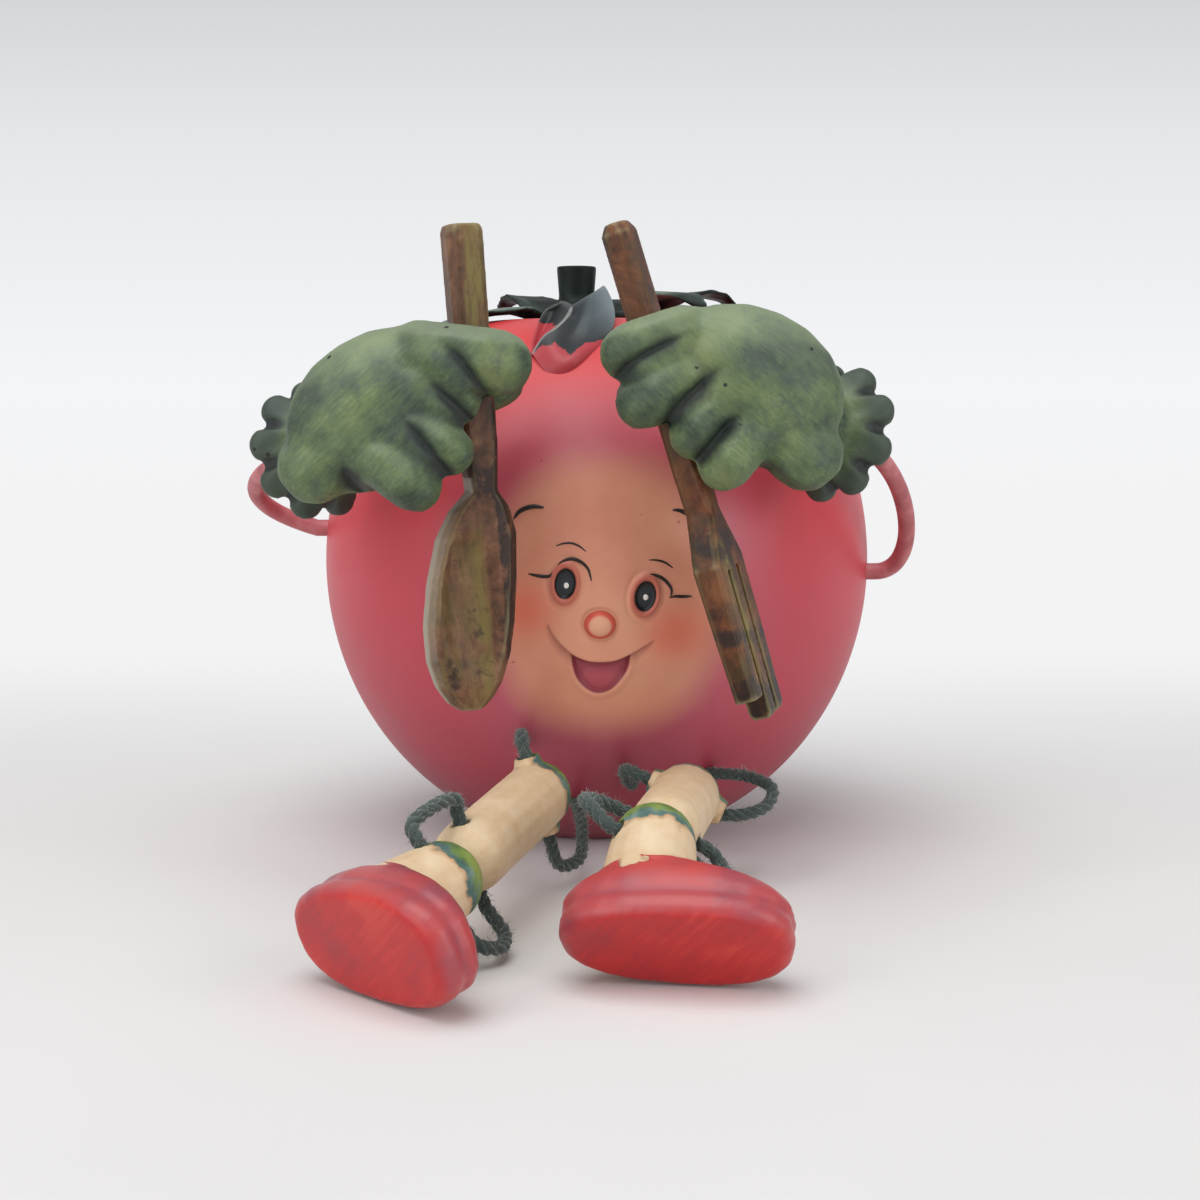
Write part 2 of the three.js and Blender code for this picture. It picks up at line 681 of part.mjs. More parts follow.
const GLOVE_COLOUR = 0x4a6b3f;
const leftHand = handGroup(LEFT_GRIP_X, LEFT_LEAN);
const rightHand = handGroup(RIGHT_GRIP_X, RIGHT_LEAN);
const spoonHalf = SPOON_HANDLE_WIDTH / 2;
const leftGlove = gloveGeometry(LEFT_HAND, spoonHalf, spoonHalf, SPOON_TURN);
add('left_glove', leftGlove, GLOVE_COLOUR, 0.75, leftHand);
add('spoon', spoonGeometry().rotateZ(SPOON_TURN), 0x6f5433, 0.6, leftHand);
const forkWay = [FORK_HANDLE_WIDTH / 2, FORK_THICKNESS / 2, -FORK_TURN];
add('right_glove', mirrored(gloveGeometry(RIGHT_HAND, ...forkWay)), GLOVE_COLOUR, 0.75, rightHand);
add('fork', forkGeometry().rotateZ(FORK_TURN), 0x6b3f2a, 0.6, rightHand);

// Arms: a wire in a plastic sleeve, straight in the tomato's bore and in the glove, bowed between
function armRoute(side, hand, group, bow) {
  const flip = vec(side < 0 ? 1 : -1, 1, 1);
  const cuff = hand.cuff.clone().multiply(flip).applyMatrix4(group.matrixWorld);
  const wrist = hand.wrist.clone().multiply(flip).normalize().transformDirection(group.matrixWorld);
  const start = armStub(side);
  const leave = along(start, vec(side, 0, 0), ARM_BORE_DEPTH + SLEEVE_RADIUS);
  const enter = cuff.clone().addScaledVector(wrist, -CUFF_LENGTH);
  const end = cuff.clone().addScaledVector(wrist, WRIST_DEPTH);
  const route = new THREE.CurvePath();
  route.add(new THREE.LineCurve3(start, leave));
  route.add(
    new THREE.CubicBezierCurve3(
      leave,
      leave.clone().add(bow.out),
      enter.clone().addScaledVector(wrist, -bow.back),
      enter,
    ),
  );
  route.add(new THREE.LineCurve3(enter, end));
  return route;
}

const LEFT_BOW = { out: vec(-16, -1, 5), back: 19 };
const RIGHT_BOW = { out: vec(9, 0, 0), back: 20 };
const arms = [
  ['left', armRoute(-1, LEFT_HAND, leftHand, LEFT_BOW)],
  ['right', armRoute(1, RIGHT_HAND, rightHand, RIGHT_BOW)],
];
for (const [name, route] of arms) {
  const wire = shape([tube(route, WIRE_RADIUS, ARM_STEPS, 6)]);
  const sleeve = shape([tube(route, SLEEVE_RADIUS, ARM_STEPS, 8, SLEEVE_BORE_RADIUS)]);
  add(`${name}_arm_wire`, wire, 0x8a8a86, 0.4, doll, 1);
  add(`${name}_arm_sleeve`, sleeve, 0xb8656a, 0.4);
}

// Legs: a thigh and a shin with domed ends, cross drilled for the cords
function arcProfile(centre, radius, from, to, steps) {
  const points = [];
  for (let i = 0; i <= steps; i++) {
    const angle = THREE.MathUtils.lerp(from, to, i / steps);
    points.push([radius * Math.cos(angle), centre + radius * Math.sin(angle)]);
  }
  return points;
}

function crossBore(height, reach) {
  return rod(vec(-reach, 0, height), vec(reach, 0, height), CORD_RADIUS + CORD_CLEARANCE, 8);
}

function thighGeometry() {
  const quarter = Math.PI / 2;
  const profile = [
    ...arcProfile(0, THIGH_RADIUS, -quarter, 0, 5),
    ...arcProfile(THIGH_SPACING, THIGH_RADIUS, 0, quarter, 5),
  ];
  const foot = 0.8 * THIGH_RADIUS;
  const crest = THIGH_RADIUS + BOSS_HEIGHT;
  const bosses = [-1, 1].map((side) =>
    rod(vec(side * foot, 0, 0), vec(side * crest, 0, 0), BOSS_RADIUS, 10, 0.8 * BOSS_RADIUS),
  );
  const reach = 2 * THIGH_RADIUS;
  return shape([revolve(profile, 16), ...bosses], [crossBore(0, reach), crossBore(THIGH_SPACING, reach)]);
}

const SHIN_END = SHIN_LENGTH - SHOE_HEIGHT + SHOE_SOCKET_DEPTH;

function shinGeometry() {
  const profile = [
    ...arcProfile(0, SHIN_RADIUS, -Math.PI / 2, 0, 5),
    [ANKLE_RADIUS, SHIN_LENGTH - SHOE_HEIGHT],
    [ANKLE_RADIUS, SHIN_END],
    [0, SHIN_END],
  ];
  return shape([revolve(profile, 18)], [crossBore(0, 2 * SHIN_RADIUS)]);
}

// A sine or cosine raised to a power below one, which squares up a round outline
function squared(value, power) {
  return Math.sign(value) * Math.abs(value) ** power;
}

// Shoe: blunt egg-shaped outlines stacked from the flat sole up past the welt to a domed top.
// Its Z runs from the shin into the sole, and its X points to the toe.
function shoeGeometry() {
  const sides = 20;
  const half = (SHOE_HEEL + SHOE_TOE) / 2;
  const middle = (SHOE_TOE - SHOE_HEEL) / 2;
  const crown = [0.68, 0.86, 0.96, 1];
  const levels = [
    [0, ANKLE_RADIUS + 1.6, 0.2],
    ...crown.map((share, i) => [0.1 + 0.14 * i, share * half, share]),
    [0.6, half - WELT_GROOVE, 1],
    [0.66, half - WELT_GROOVE, 1],
    [0.74, half, 1],
    [0.9, half - 0.3, 1],
    [1, half - 1.8, 1],
  ];
  const narrow = SHOE_WIDTH / 2 / half;
  const rings = levels.map(([share, reach, forward]) => {
    const ring = [];
    for (let j = 0; j < sides; j++) {
      const angle = (2 * Math.PI * j) / sides;
      const across = THREE.MathUtils.lerp(1, narrow, Math.min(1, forward));
      const blunt = THREE.MathUtils.lerp(1, SHOE_BLUNTNESS, forward);
      const taper = 1 + 0.1 * forward * Math.cos(angle);
      const x = middle * forward + reach * squared(Math.cos(angle), blunt);
      const y = reach * across * taper * squared(Math.sin(angle), blunt);
      ring.push(vec(x, y, SHIN_LENGTH - SHOE_HEIGHT * (1 - share)));
    }
    return ring;
  });
  const socket = rod(
    vec(0, 0, SHIN_LENGTH - 2 * SHOE_HEIGHT),
    vec(0, 0, SHIN_END + CLEARANCE),
    ANKLE_RADIUS + CLEARANCE,
    18,
  );
  return shape([loft(rings)], [socket]);
}

// A place in front of the tomato's widest part
function ahead(x, distance, height) {
  return vec(x, -(BODY_RADIUS + distance), height);
}

// How each leg lies: the hip hole's place, the way the thigh and shin point, the toe, and how far
// the cross holes are turned down from level
const LEGS = {
  left: {
    hip: ahead(-9.4, 6, 16.3),
    thigh: vec(-0.29, -0.952, -0.092),
    shin: vec(-0.663, -0.696, -0.275),
    toe: vec(0.707, -0.703, 0.076),
    thighRoll: 75,
    shinRoll: 58,
  },
  right: {
    hip: ahead(14.6, 1, 15),
    thigh: vec(-0.155, -0.986, 0.05),
    shin: vec(-0.115, -0.797, -0.593),
    toe: vec(0.99, -0.142, 0),
    thighRoll: 23,
    shinRoll: 34,
  },
};

function rolled(degrees) {
  const angle = THREE.MathUtils.degToRad(degrees);
  return vec(Math.cos(angle), 0, -Math.sin(angle));
}

function cordTube(points) {
  const route = new THREE.CatmullRomCurve3(points, false, 'centripetal');
  return shape([tube(route, CORD_RADIUS, CORD_STEPS, 8)]);
}

const LEG_COLOUR = 0xe3c79b;
const SHOE_COLOUR = 0xc4231f;
const CORD_COLOUR = 0x4d635a;

for (const [name, leg] of Object.entries(LEGS)) {
  const thighWay = leg.thigh.clone().normalize();
  const shinWay = leg.shin.clone().normalize();
  const thighTurn = turned(thighWay, rolled(leg.thighRoll));
  const shinTurn = turned(shinWay, rolled(leg.shinRoll));
  const knee = along(leg.hip, thighWay, THIGH_SPACING);
  const shinHole = along(knee, thighWay, THIGH_RADIUS + KNEE_GAP + SHIN_RADIUS);

  const thigh = add(`${name}_thigh`, thighGeometry(), LEG_COLOUR, 0.7);
  thigh.position.copy(leg.hip);
  thigh.quaternion.copy(thighTurn);
  const shin = add(`${name}_shin`, shinGeometry(), LEG_COLOUR, 0.7);
  shin.position.copy(shinHole);
  shin.quaternion.copy(shinTurn);
  const shoe = add(`${name}_shoe`, shoeGeometry(), SHOE_COLOUR, 0.4);
  shoe.position.copy(shinHole);
  shoe.quaternion.copy(turned(shinWay, leg.toe));

  leg.thighHole = vec(1, 0, 0).applyQuaternion(thighTurn);
  leg.shinHole = vec(1, 0, 0).applyQuaternion(shinTurn);
  leg.knee = knee;
  leg.shinPlace = shinHole;
}

// Cords: each hip cord comes out of the tomato, goes through the top of the thigh and returns.
// Each knee cord starts inside the thigh's lower hole, goes through the shin and comes back.
const OUT = THIGH_RADIUS + BOSS_HEIGHT + 0.6;
const SLACK = {
  left: {
    hipIn: [ahead(-11.8, 4, 24.9), ahead(-12.2, -2, 24.6)],
    hipOut: [ahead(-6, 3.6, 4.4), ahead(-2.8, -1, 4.2), ahead(-2.4, -7.4, 8)],
    over: [ahead(-20, 34.9, 21.8), ahead(-22.6, 38.9, 22), ahead(-25.6, 43.1, 20)],
    under: [ahead(-16.6, 45.8, 3.8), ahead(-13.6, 43.2, 2.6), ahead(-13.1, 37.8, 3.1)],
  },
  right: {
    hipIn: [ahead(27.5, -1.2, 12.8), ahead(29, -5, 15), ahead(25.5, -9.2, 16.2)],
    hipOut: [ahead(5.2, -1.2, 18.9), ahead(4.6, -5.6, 17.6)],
    over: [ahead(0.5, 31.2, 20.8), ahead(-1.5, 35, 22), ahead(-0.5, 40.2, 22)],
    under: [ahead(16.7, 41.6, 11.4), ahead(18.7, 37.6, 10.8), ahead(18.3, 32.8, 11.6)],
  },
};

for (const [name, leg] of Object.entries(LEGS)) {
  const slack = SLACK[name];
  const [first, second] = HIP_MOUTHS[name];
  const inward = vec(0, CORD_BORE_DEPTH, 0);
  const sign = name === 'left' ? -1 : 1;
  const hipRoute = [
    first.clone().add(inward),
    first.clone(),
    ...slack.hipIn.toReversed(),
    along(leg.hip, leg.thighHole, sign * OUT),
    leg.hip.clone(),
    along(leg.hip, leg.thighHole, -sign * OUT),
    ...slack.hipOut,
    second.clone(),
    second.clone().add(inward),
  ];
  add(`${name}_hip_cord`, cordTube(hipRoute), CORD_COLOUR, 0.95);
  const kneeRoute = [
    along(leg.knee, leg.thighHole, -CLEARANCE),
    along(leg.knee, leg.thighHole, -OUT),
    ...slack.over,
    along(leg.shinPlace, leg.shinHole, -SHIN_RADIUS - 0.6),
    leg.shinPlace.clone(),
    along(leg.shinPlace, leg.shinHole, SHIN_RADIUS + 0.6),
    ...slack.under,
    along(leg.knee, leg.thighHole, OUT),
    along(leg.knee, leg.thighHole, CLEARANCE),
  ];
  add(`${name}_knee_cord`, cordTube(kneeRoute), CORD_COLOUR, 0.95);
}

export default doll;
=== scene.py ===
import math
import random

import bpy
import bmesh
import numpy as np
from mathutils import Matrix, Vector


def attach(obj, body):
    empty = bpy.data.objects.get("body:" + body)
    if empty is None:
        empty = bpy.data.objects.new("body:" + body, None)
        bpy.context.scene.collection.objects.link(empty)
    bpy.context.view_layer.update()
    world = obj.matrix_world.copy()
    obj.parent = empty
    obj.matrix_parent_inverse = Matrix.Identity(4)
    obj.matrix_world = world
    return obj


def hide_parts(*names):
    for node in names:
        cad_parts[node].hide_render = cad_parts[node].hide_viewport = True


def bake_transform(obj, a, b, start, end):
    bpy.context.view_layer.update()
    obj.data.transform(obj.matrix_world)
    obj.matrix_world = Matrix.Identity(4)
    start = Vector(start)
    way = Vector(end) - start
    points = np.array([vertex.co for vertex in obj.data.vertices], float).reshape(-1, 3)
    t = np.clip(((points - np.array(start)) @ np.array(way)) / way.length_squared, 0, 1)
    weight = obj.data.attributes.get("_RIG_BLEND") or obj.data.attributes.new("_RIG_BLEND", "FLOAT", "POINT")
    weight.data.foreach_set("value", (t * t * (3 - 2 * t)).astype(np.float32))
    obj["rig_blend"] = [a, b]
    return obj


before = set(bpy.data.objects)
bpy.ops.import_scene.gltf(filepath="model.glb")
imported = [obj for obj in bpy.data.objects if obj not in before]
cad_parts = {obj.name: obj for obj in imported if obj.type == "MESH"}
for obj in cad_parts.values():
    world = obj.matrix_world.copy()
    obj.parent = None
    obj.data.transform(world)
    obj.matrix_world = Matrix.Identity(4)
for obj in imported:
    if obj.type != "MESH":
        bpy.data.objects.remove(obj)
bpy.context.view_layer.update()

# Camera: the tomato is seen from the front, a little from above, with its legs towards the lens.
# The lens is only 35 cm away, so the hands and shoes, being nearer, look larger than the fruit behind.
CAMERA_PLACE = (0.0006, -0.350, 0.080)
CAMERA_TILT = math.radians(83.7)
FILM_WIDTH = 36
PHOTO_PIXELS = 1200
FOCAL_PIXELS = 1881
bpy.ops.object.select_all(action="DESELECT")
bpy.ops.object.camera_add(location=CAMERA_PLACE, rotation=(CAMERA_TILT, 0, 0))
camera = bpy.context.object
camera.data.sensor_width = FILM_WIDTH
camera.data.lens = FILM_WIDTH * FOCAL_PIXELS / PHOTO_PIXELS
camera.data.clip_start = 0.01
bpy.context.scene.camera = camera
bpy.context.scene.view_settings.view_transform = "Standard"

# Floor: a sheet of matt white studio paper that runs back from the shelf and rolls up behind the doll.
# One large soft box hangs overhead, a weaker one stands at each side, and the room fills the rest.
PAPER_SPAN = 4
PAPER_RISE = 3
PAPER_ROLL = 1.2
SOFT_BOX_AIM = Vector((0, -0.03, 0.05))


def linear(hexed):
    """A colour in linear light, from its sRGB hex value."""
    parts = [int(hexed[i:i + 2], 16) / 255 for i in (1, 3, 5)]
    return tuple(c / 12.92 if c < 0.04045 else ((c + 0.055) / 1.055) ** 2.4 for c in parts) + (1.0,)


def fill(tree, made, inputs):
    """Sets a node's inputs, from a dict by name or from a list in the order in which the node shows them.

    A colour is a hex string. A node stands for its Fac, its Object coordinates or else its first output.
    """
    shown = [socket for socket in made.inputs if socket.enabled]
    for key, value in inputs.items() if isinstance(inputs, dict) else zip(shown, inputs):
        socket = made.inputs[key] if isinstance(key, str) else key
        if isinstance(value, bpy.types.Node):
            given = [output for output in value.outputs if output.enabled]
            value = next((output for output in given if output.name in ("Fac", "Object")), given[0])
        if isinstance(value, bpy.types.NodeSocket):
            tree.links.new(value, socket)
        else:
            socket.default_value = linear(value) if isinstance(value, str) else value


def node(tree, kind, inputs=(), stops=(), **settings):
    """Adds a node with its settings, its inputs and, for a colour ramp, its stops."""
    made = tree.nodes.new("ShaderNode" + kind)
    for key, value in settings.items():
        setattr(made, key, value)
    fill(tree, made, inputs)
    ramp = made.color_ramp.elements if stops else ()
    while len(ramp) < len(stops):
        ramp.new(1.0)
    for element, (place, colour) in zip(ramp, stops):
        element.position = place
        element.color = linear(colour) if isinstance(colour, str) else (colour, colour, colour, 1.0)
    return made


def every(millimetres):
    """The texture scale that repeats a pattern about every so many millimetres."""
    return 1000 / millimetres


def new_material(name):
    """A material with its node tree and its main shader."""
    material = bpy.data.materials.new(name)
    material.use_nodes = True
    tree = material.node_tree
    return material, tree, tree.nodes["Principled BSDF"]


bpy.ops.object.select_all(action="DESELECT")
bpy.ops.mesh.primitive_plane_add(size=PAPER_SPAN, location=(0, 0, 0))
floor = bpy.context.object
floor.name = "paper_floor"
bpy.ops.object.mode_set(mode="EDIT")
sweep = bmesh.from_edit_mesh(floor.data)
for edge in sweep.edges:
    edge.select = all(v.co.y > 0.45 * PAPER_SPAN for v in edge.verts)
sweep.select_flush_mode()
bmesh.update_edit_mesh(floor.data)
bpy.ops.mesh.extrude_region_move(TRANSFORM_OT_translate={"value": (0, 0, PAPER_RISE)})
bpy.ops.object.mode_set(mode="OBJECT")
roll = floor.modifiers.new("roll", "BEVEL")
roll.width = PAPER_ROLL
roll.segments = 16
bpy.ops.object.modifier_apply(modifier=roll.name)
bpy.ops.object.shade_smooth()

# Matt paper: flat white with hardly a grain. Behind the doll the camera sees a glow of painted light instead,
# pale and greyer as it rises, so that the backdrop stays light and the floor in front keeps the shadow.
paper, tree, shader = new_material("matt_paper")
spot = node(tree, "TexCoord")
place = node(tree, "SeparateXYZ", [spot])
fibre = node(tree, "TexNoise", {"Vector": spot, "Scale": every(111), "Detail": 3})
tint = node(tree, "ValToRGB", [fibre], [(0.3, "#dad9d8"), (0.7, "#dfdedd")])
fill(tree, shader, {"Base Color": tint, "Roughness": 0.9})
rise = node(tree, "MapRange", [place.outputs["Z"], 0.0, 0.56, 0.0, 1.0])
pale = node(tree, "ValToRGB", [rise],
            [(0.0, "#f3f3f4"), (0.15, "#f4f5f7"), (0.6, "#e6e7e9"), (1.0, "#cfd0d2")])
# Painted light: the glow the camera sees on the backdrop, pale low down and greyer higher up.
lit = node(tree, "Emission", {"Color": pale})
ray = node(tree, "LightPath")
seen = node(tree, "Math", [ray.outputs["Is Camera Ray"], ray.outputs["Is Glossy Ray"]], operation="MAXIMUM")
through = node(tree, "Math", [seen, ray.outputs["Is Transmission Ray"]], operation="MAXIMUM")
behind = node(tree, "MapRange", [place.outputs["Y"], -0.03, 0.24, 0.0, 1.0],
              interpolation_type="SMOOTHSTEP")
share = node(tree, "Math", [behind, through], operation="MULTIPLY")
sheet = node(tree, "MixShader", [share, shader, lit])
fill(tree, tree.nodes["Material Output"], {"Surface": sheet})
floor.data.materials.append(paper)

for name, place, size, power in (
    ("overhead_soft_box", (-0.15, -0.35, 1.0), 0.9, 7.4),
    ("left_soft_box", (-0.8, -0.75, 0.4), 0.8, 4.2),
    ("right_soft_box", (0.85, -0.7, 0.4), 0.8, 4.4),
):
    bpy.ops.object.light_add(type="AREA", location=place)
    lamp = bpy.context.object
    lamp.name = name
    lamp.data.size = size
    lamp.data.energy = power
    lamp.rotation_euler = (SOFT_BOX_AIM - Vector(place)).to_track_quat("-Z", "Y").to_euler()

room = bpy.context.scene.world or bpy.data.worlds.new("room")
bpy.context.scene.world = room
room.use_nodes = True
room_light = room.node_tree.nodes["Background"]
room_light.inputs["Color"].default_value = linear("#f4f5f8")
room_light.inputs["Strength"].default_value = 0.45

# Cords: limp three-ply cotton, 2.1 mm thick, dyed grey green and fuzzy with stray fibres.
# A hip cord leaves the tomato, goes through the top of the thigh and returns into the tomato.
# A knee cord goes from the thigh's lower hole through the shin and back.
CORD_DIAMETER = 0.0021
CORD_LAY = 0.0052
CORD_STEP = 0.00035
PLIES = 3
PLY_VALLEY, PLY_SWELL = 0.76, 0.26
SECTION_POINTS = 24
FIBRES = 800
FIBRE_RADIUS = 0.000035
FIBRE_LENGTHS = (0.0004, 0.0013)
FIBRE_ROOT = 0.42


def eased_route(points, step):
    """A smooth route through the points that doesn't swing wide at close ones, in strides of about a step."""
    ends = [2 * points[0] - points[1], *points, 2 * points[-1] - points[-2]]
    route = []
    for p0, p1, p2, p3 in zip(ends, ends[1:], ends[2:], ends[3:]):
        t1 = (p1 - p0).length ** 0.5
        t2 = t1 + (p2 - p1).length ** 0.5
        t3 = t2 + (p3 - p2).length ** 0.5
        count = max(2, round((p2 - p1).length / step))
        for i in range(count):
            t = t1 + (t2 - t1) * i / count
            a = p0.lerp(p1, t / t1)
            b = p1.lerp(p2, (t - t1) / (t2 - t1))
            c = p2.lerp(p3, (t - t2) / (t3 - t2))
            d = a.lerp(b, t / t2)
            e = b.lerp(c, (t - t1) / (t3 - t1))
            route.append(d.lerp(e, (t - t1) / (t2 - t1)))
    return [*route, points[-1]]


def metres(*places):
    """Places that are given in mm, as vectors in metres."""
    return [Vector(place) * 0.001 for place in places]


def take_up(piece):
    """Puts a new piece on the bench and makes it the only one that is selected."""
    bpy.context.scene.collection.objects.link(piece)
    bpy.ops.object.select_all(action="DESELECT")
    piece.select_set(True)
    bpy.context.view_layer.objects.active = piece


def line_curve(name, route, radii=None):
    curve = bpy.data.curves.new(name, "CURVE")
    curve.dimensions = "3D"
    curve.use_fill_caps = True
    spline = curve.splines.new("POLY")
    spline.points.add(len(route) - 1)
    for i, (point, place) in enumerate(zip(spline.points, route)):
        point.co = (*place, 1)
        point.radius = radii[i] if radii else 1
    piece = bpy.data.objects.new(name, curve)
    take_up(piece)
    return piece


section = []
for i in range(SECTION_POINTS):
    bearing = 2 * math.pi * i / SECTION_POINTS
    swell = PLY_VALLEY + PLY_SWELL * abs(math.cos(0.5 * PLIES * bearing))
    section.append(Vector((math.cos(bearing), math.sin(bearing), 0)) * 0.5 * CORD_DIAMETER * swell)
three_ply = line_curve("three_ply_section", section)
three_ply.data.splines[0].use_cyclic_u = True

# Dyed cotton: dull and soft, faded in stretches, with painted shade that turns it nearly black between the
# plies.
# Its fibres are drawn much coarser than real ones so that they show.
cotton, tree, shader = new_material("dyed_cotton_yarn")
strand = node(tree, "TexCoord")
fibres = node(tree, "TexNoise", {"Vector": strand, "Scale": every(0.71), "Detail": 5})
fade = node(tree, "TexNoise", {"Vector": strand, "Scale": every(6.2), "Detail": 2})
deep = node(tree, "Attribute", attribute_name="hollow")
dye = node(tree, "ValToRGB", [fade], [(0.32, "#667a72"), (0.5, "#899a90"), (0.68, "#b2beb2")])
worn = node(tree, "ValToRGB", [fibres], [(0.35, 0.68), (0.65, 1.0)])
shade = node(tree, "Mix", [1.0, dye, worn], data_type="RGBA", blend_type="MULTIPLY")
# Painted shade: the hollows between the plies are darkened to nearly black.
ply_shade = node(tree, "MapRange", [deep, 0.0, 0.2, 0.0, 0.9])
ply_shaded = node(tree, "Mix", [ply_shade, shade, "#2c3835"], data_type="RGBA")
fuzz = node(tree, "Bump", {"Height": fibres, "Strength": 0.7, "Distance": 0.0003})
fill(tree, shader, {"Base Color": ply_shaded, "Normal": fuzz, "Roughness": 0.95, "Sheen Weight": 0.35,
                    "Sheen Roughness": 0.5})


def store(piece, name, values):
    """Keeps one value for each point of a mesh, which its paint reads by that name."""
    marks = piece.data.attributes
    mark = marks.get(name) or marks.new(name, "FLOAT", "POINT")
    mark.data.foreach_set("value", values)


def mark_hollows(piece, passes):
    """Stores how far each point lies under the smoothed surface, in mm, so that a dark wash and painted shade
    can gather there.
    """
    mesh = piece.data
    count = len(mesh.vertices)
    place = np.empty(3 * count)
    mesh.vertices.foreach_get("co", place)
    place = place.reshape(-1, 3)
    normal = np.empty(3 * count)
    mesh.vertices.foreach_get("normal", normal)
    ends = np.empty(2 * len(mesh.edges), dtype=np.int64)
    mesh.edges.foreach_get("vertices", ends)
    a, b = ends.reshape(-1, 2).T
    links = np.bincount(a, minlength=count) + np.bincount(b, minlength=count)
    links = np.maximum(links, 1)[:, None]
    soft = place.copy()
    for _ in range(passes):
        around = np.zeros_like(soft)
        for axis in range(3):
            around[:, axis] = np.bincount(a, soft[b, axis], count) + np.bincount(b, soft[a, axis], count)
        soft = around / links
    depth = ((soft - place) * normal.reshape(-1, 3)).sum(axis=1) * 1000
    store(piece, "hollow", depth.astype(np.float32))


def spun_cord(name, points, seed):
    """Twists the three-ply section along the route, then adds stray fibres, three-sided and closed."""
    route = eased_route(points, CORD_STEP)
    piece = line_curve(name, route)
    curve = piece.data
    run = 0.0
    for i, point in enumerate(curve.splines[0].points):
        run += (route[i] - route[i - 1]).length if i else 0.0
        point.tilt = 2 * math.pi * run / CORD_LAY
    curve.bevel_mode = "OBJECT"
    curve.bevel_object = three_ply
    bpy.ops.object.convert(target="MESH")
    piece = bpy.context.object
    mark_hollows(piece, passes=12)
    dice = random.Random(seed)
    mesh = bmesh.new()
    mesh.from_mesh(piece.data)
    for _ in range(FIBRES):
        i = dice.randrange(4, len(route) - 4)
        ahead = (route[i + 2] - route[i - 2]).normalized()
        side = Vector((dice.gauss(0, 1), dice.gauss(0, 1), dice.gauss(0, 1)))
        side = (side - side.dot(ahead) * ahead).normalized()
        start = route[i] + side * FIBRE_ROOT * CORD_DIAMETER
        length = dice.uniform(*FIBRE_LENGTHS)
        sweep = (side * dice.uniform(0.2, 0.9) + ahead * dice.uniform(-1, 1)).normalized()
        middle = start + sweep * 0.5 * length
        tip = middle + (sweep + side * dice.uniform(-0.6, 0.2)).normalized() * 0.5 * length
        wide = ahead.cross(sweep).normalized() * FIBRE_RADIUS
        thick = sweep.cross(wide)
        ring = (wide, -0.5 * wide + 0.87 * thick, -0.5 * wide - 0.87 * thick)
        foot = [mesh.verts.new(start + p) for p in ring]
        waist = [mesh.verts.new(middle + p) for p in ring]
        top = mesh.verts.new(tip)
        mesh.faces.new(foot[::-1])
        for k in range(3):
            mesh.faces.new((foot[k - 1], foot[k], waist[k], waist[k - 1]))
            mesh.faces.new((waist[k - 1], waist[k], top))
    mesh.to_mesh(piece.data)
    mesh.free()
    piece.data.materials.clear()
    piece.data.materials.append(cotton)
    bpy.ops.object.shade_smooth()
    length = sum((q - p).length for p, q in zip(route, route[1:]))
    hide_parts(name.replace("_strung", ""))
    return piece


left_hip_cord = spun_cord("left_hip_cord_strung", metres(
    (-12.5, -34.0, 22.0), (-12.5, -41.0, 22.0), (-12.2, -48.0, 24.6), (-11.8, -54.0, 24.9),
    (-11.3, -56.1, 23.2), (-9.4, -56.0, 16.3), (-7.5, -55.9, 9.4), (-6.0, -53.6, 4.4),
    (-2.8, -49.0, 4.2), (-2.4, -42.6, 8.0), (-3.5, -33.8, 10.5), (-3.5, -26.8, 10.5)), 11)
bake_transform(left_hip_cord, "body", "left_upper_leg",
         start=(-0.0090, -0.040, 0.015), end=(-0.0094, -0.0540, 0.0163))

right_hip_cord = spun_cord("right_hip_cord_strung", metres(
    (19.0, -26.5, 15.5), (19.0, -33.5, 15.5), (25.5, -40.8, 16.2), (29.0, -45.0, 15.0),
    (27.5, -48.8, 12.8), (21.1, -52.1, 12.2), (14.6, -51.0, 15.0), (8.1, -49.9, 17.8),
    (5.2, -48.8, 18.9), (4.6, -44.4, 17.6), (6.0, -36.8, 14.0), (6.0, -29.8, 14.0)), 12)
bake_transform(right_hip_cord, "body", "right_upper_leg",
         start=(0.0146, -0.037, 0.015), end=(0.0146, -0.0495, 0.015))

left_knee_cord = spun_cord("left_knee_cord_strung", metres(
    (-18.2, -84.6, 13.8), (-20.0, -84.7, 20.5), (-20.0, -84.9, 21.8), (-22.6, -88.9, 22.0),
    (-25.6, -93.1, 20.0), (-24.5, -95.3, 18.3), (-21.5, -95.8, 12.5), (-18.5, -96.4, 6.6),
    (-16.6, -95.8, 3.8), (-13.6, -93.2, 2.6), (-13.1, -87.8, 3.1), (-16.2, -84.5, 6.6),
    (-18.0, -84.6, 13.2)), 13)
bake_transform(left_knee_cord, "left_upper_leg", "left_lower_leg",
         start=(-0.0185, -0.0858, 0.0134), end=(-0.0211, -0.0946, 0.0126))

right_knee_cord = spun_cord("right_knee_cord_strung", metres(
    (9.7, -80.6, 16.6), (3.4, -79.4, 19.3), (0.5, -81.2, 20.8), (-1.5, -85.0, 22.0),
    (-0.5, -90.2, 22.0), (2.3, -93.5, 19.9), (8.1, -92.2, 17.1), (13.9, -91.0, 14.2),
    (16.7, -91.6, 11.4), (18.7, -87.6, 10.8), (18.3, -82.8, 11.6), (16.5, -81.8, 13.7),
    (10.2, -80.6, 16.4)), 14)
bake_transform(right_knee_cord, "right_upper_leg", "right_lower_leg",
         start=(0.0098, -0.0818, 0.0166), end=(0.0083, -0.0910, 0.0170))
bpy.data.objects.remove(three_ply)

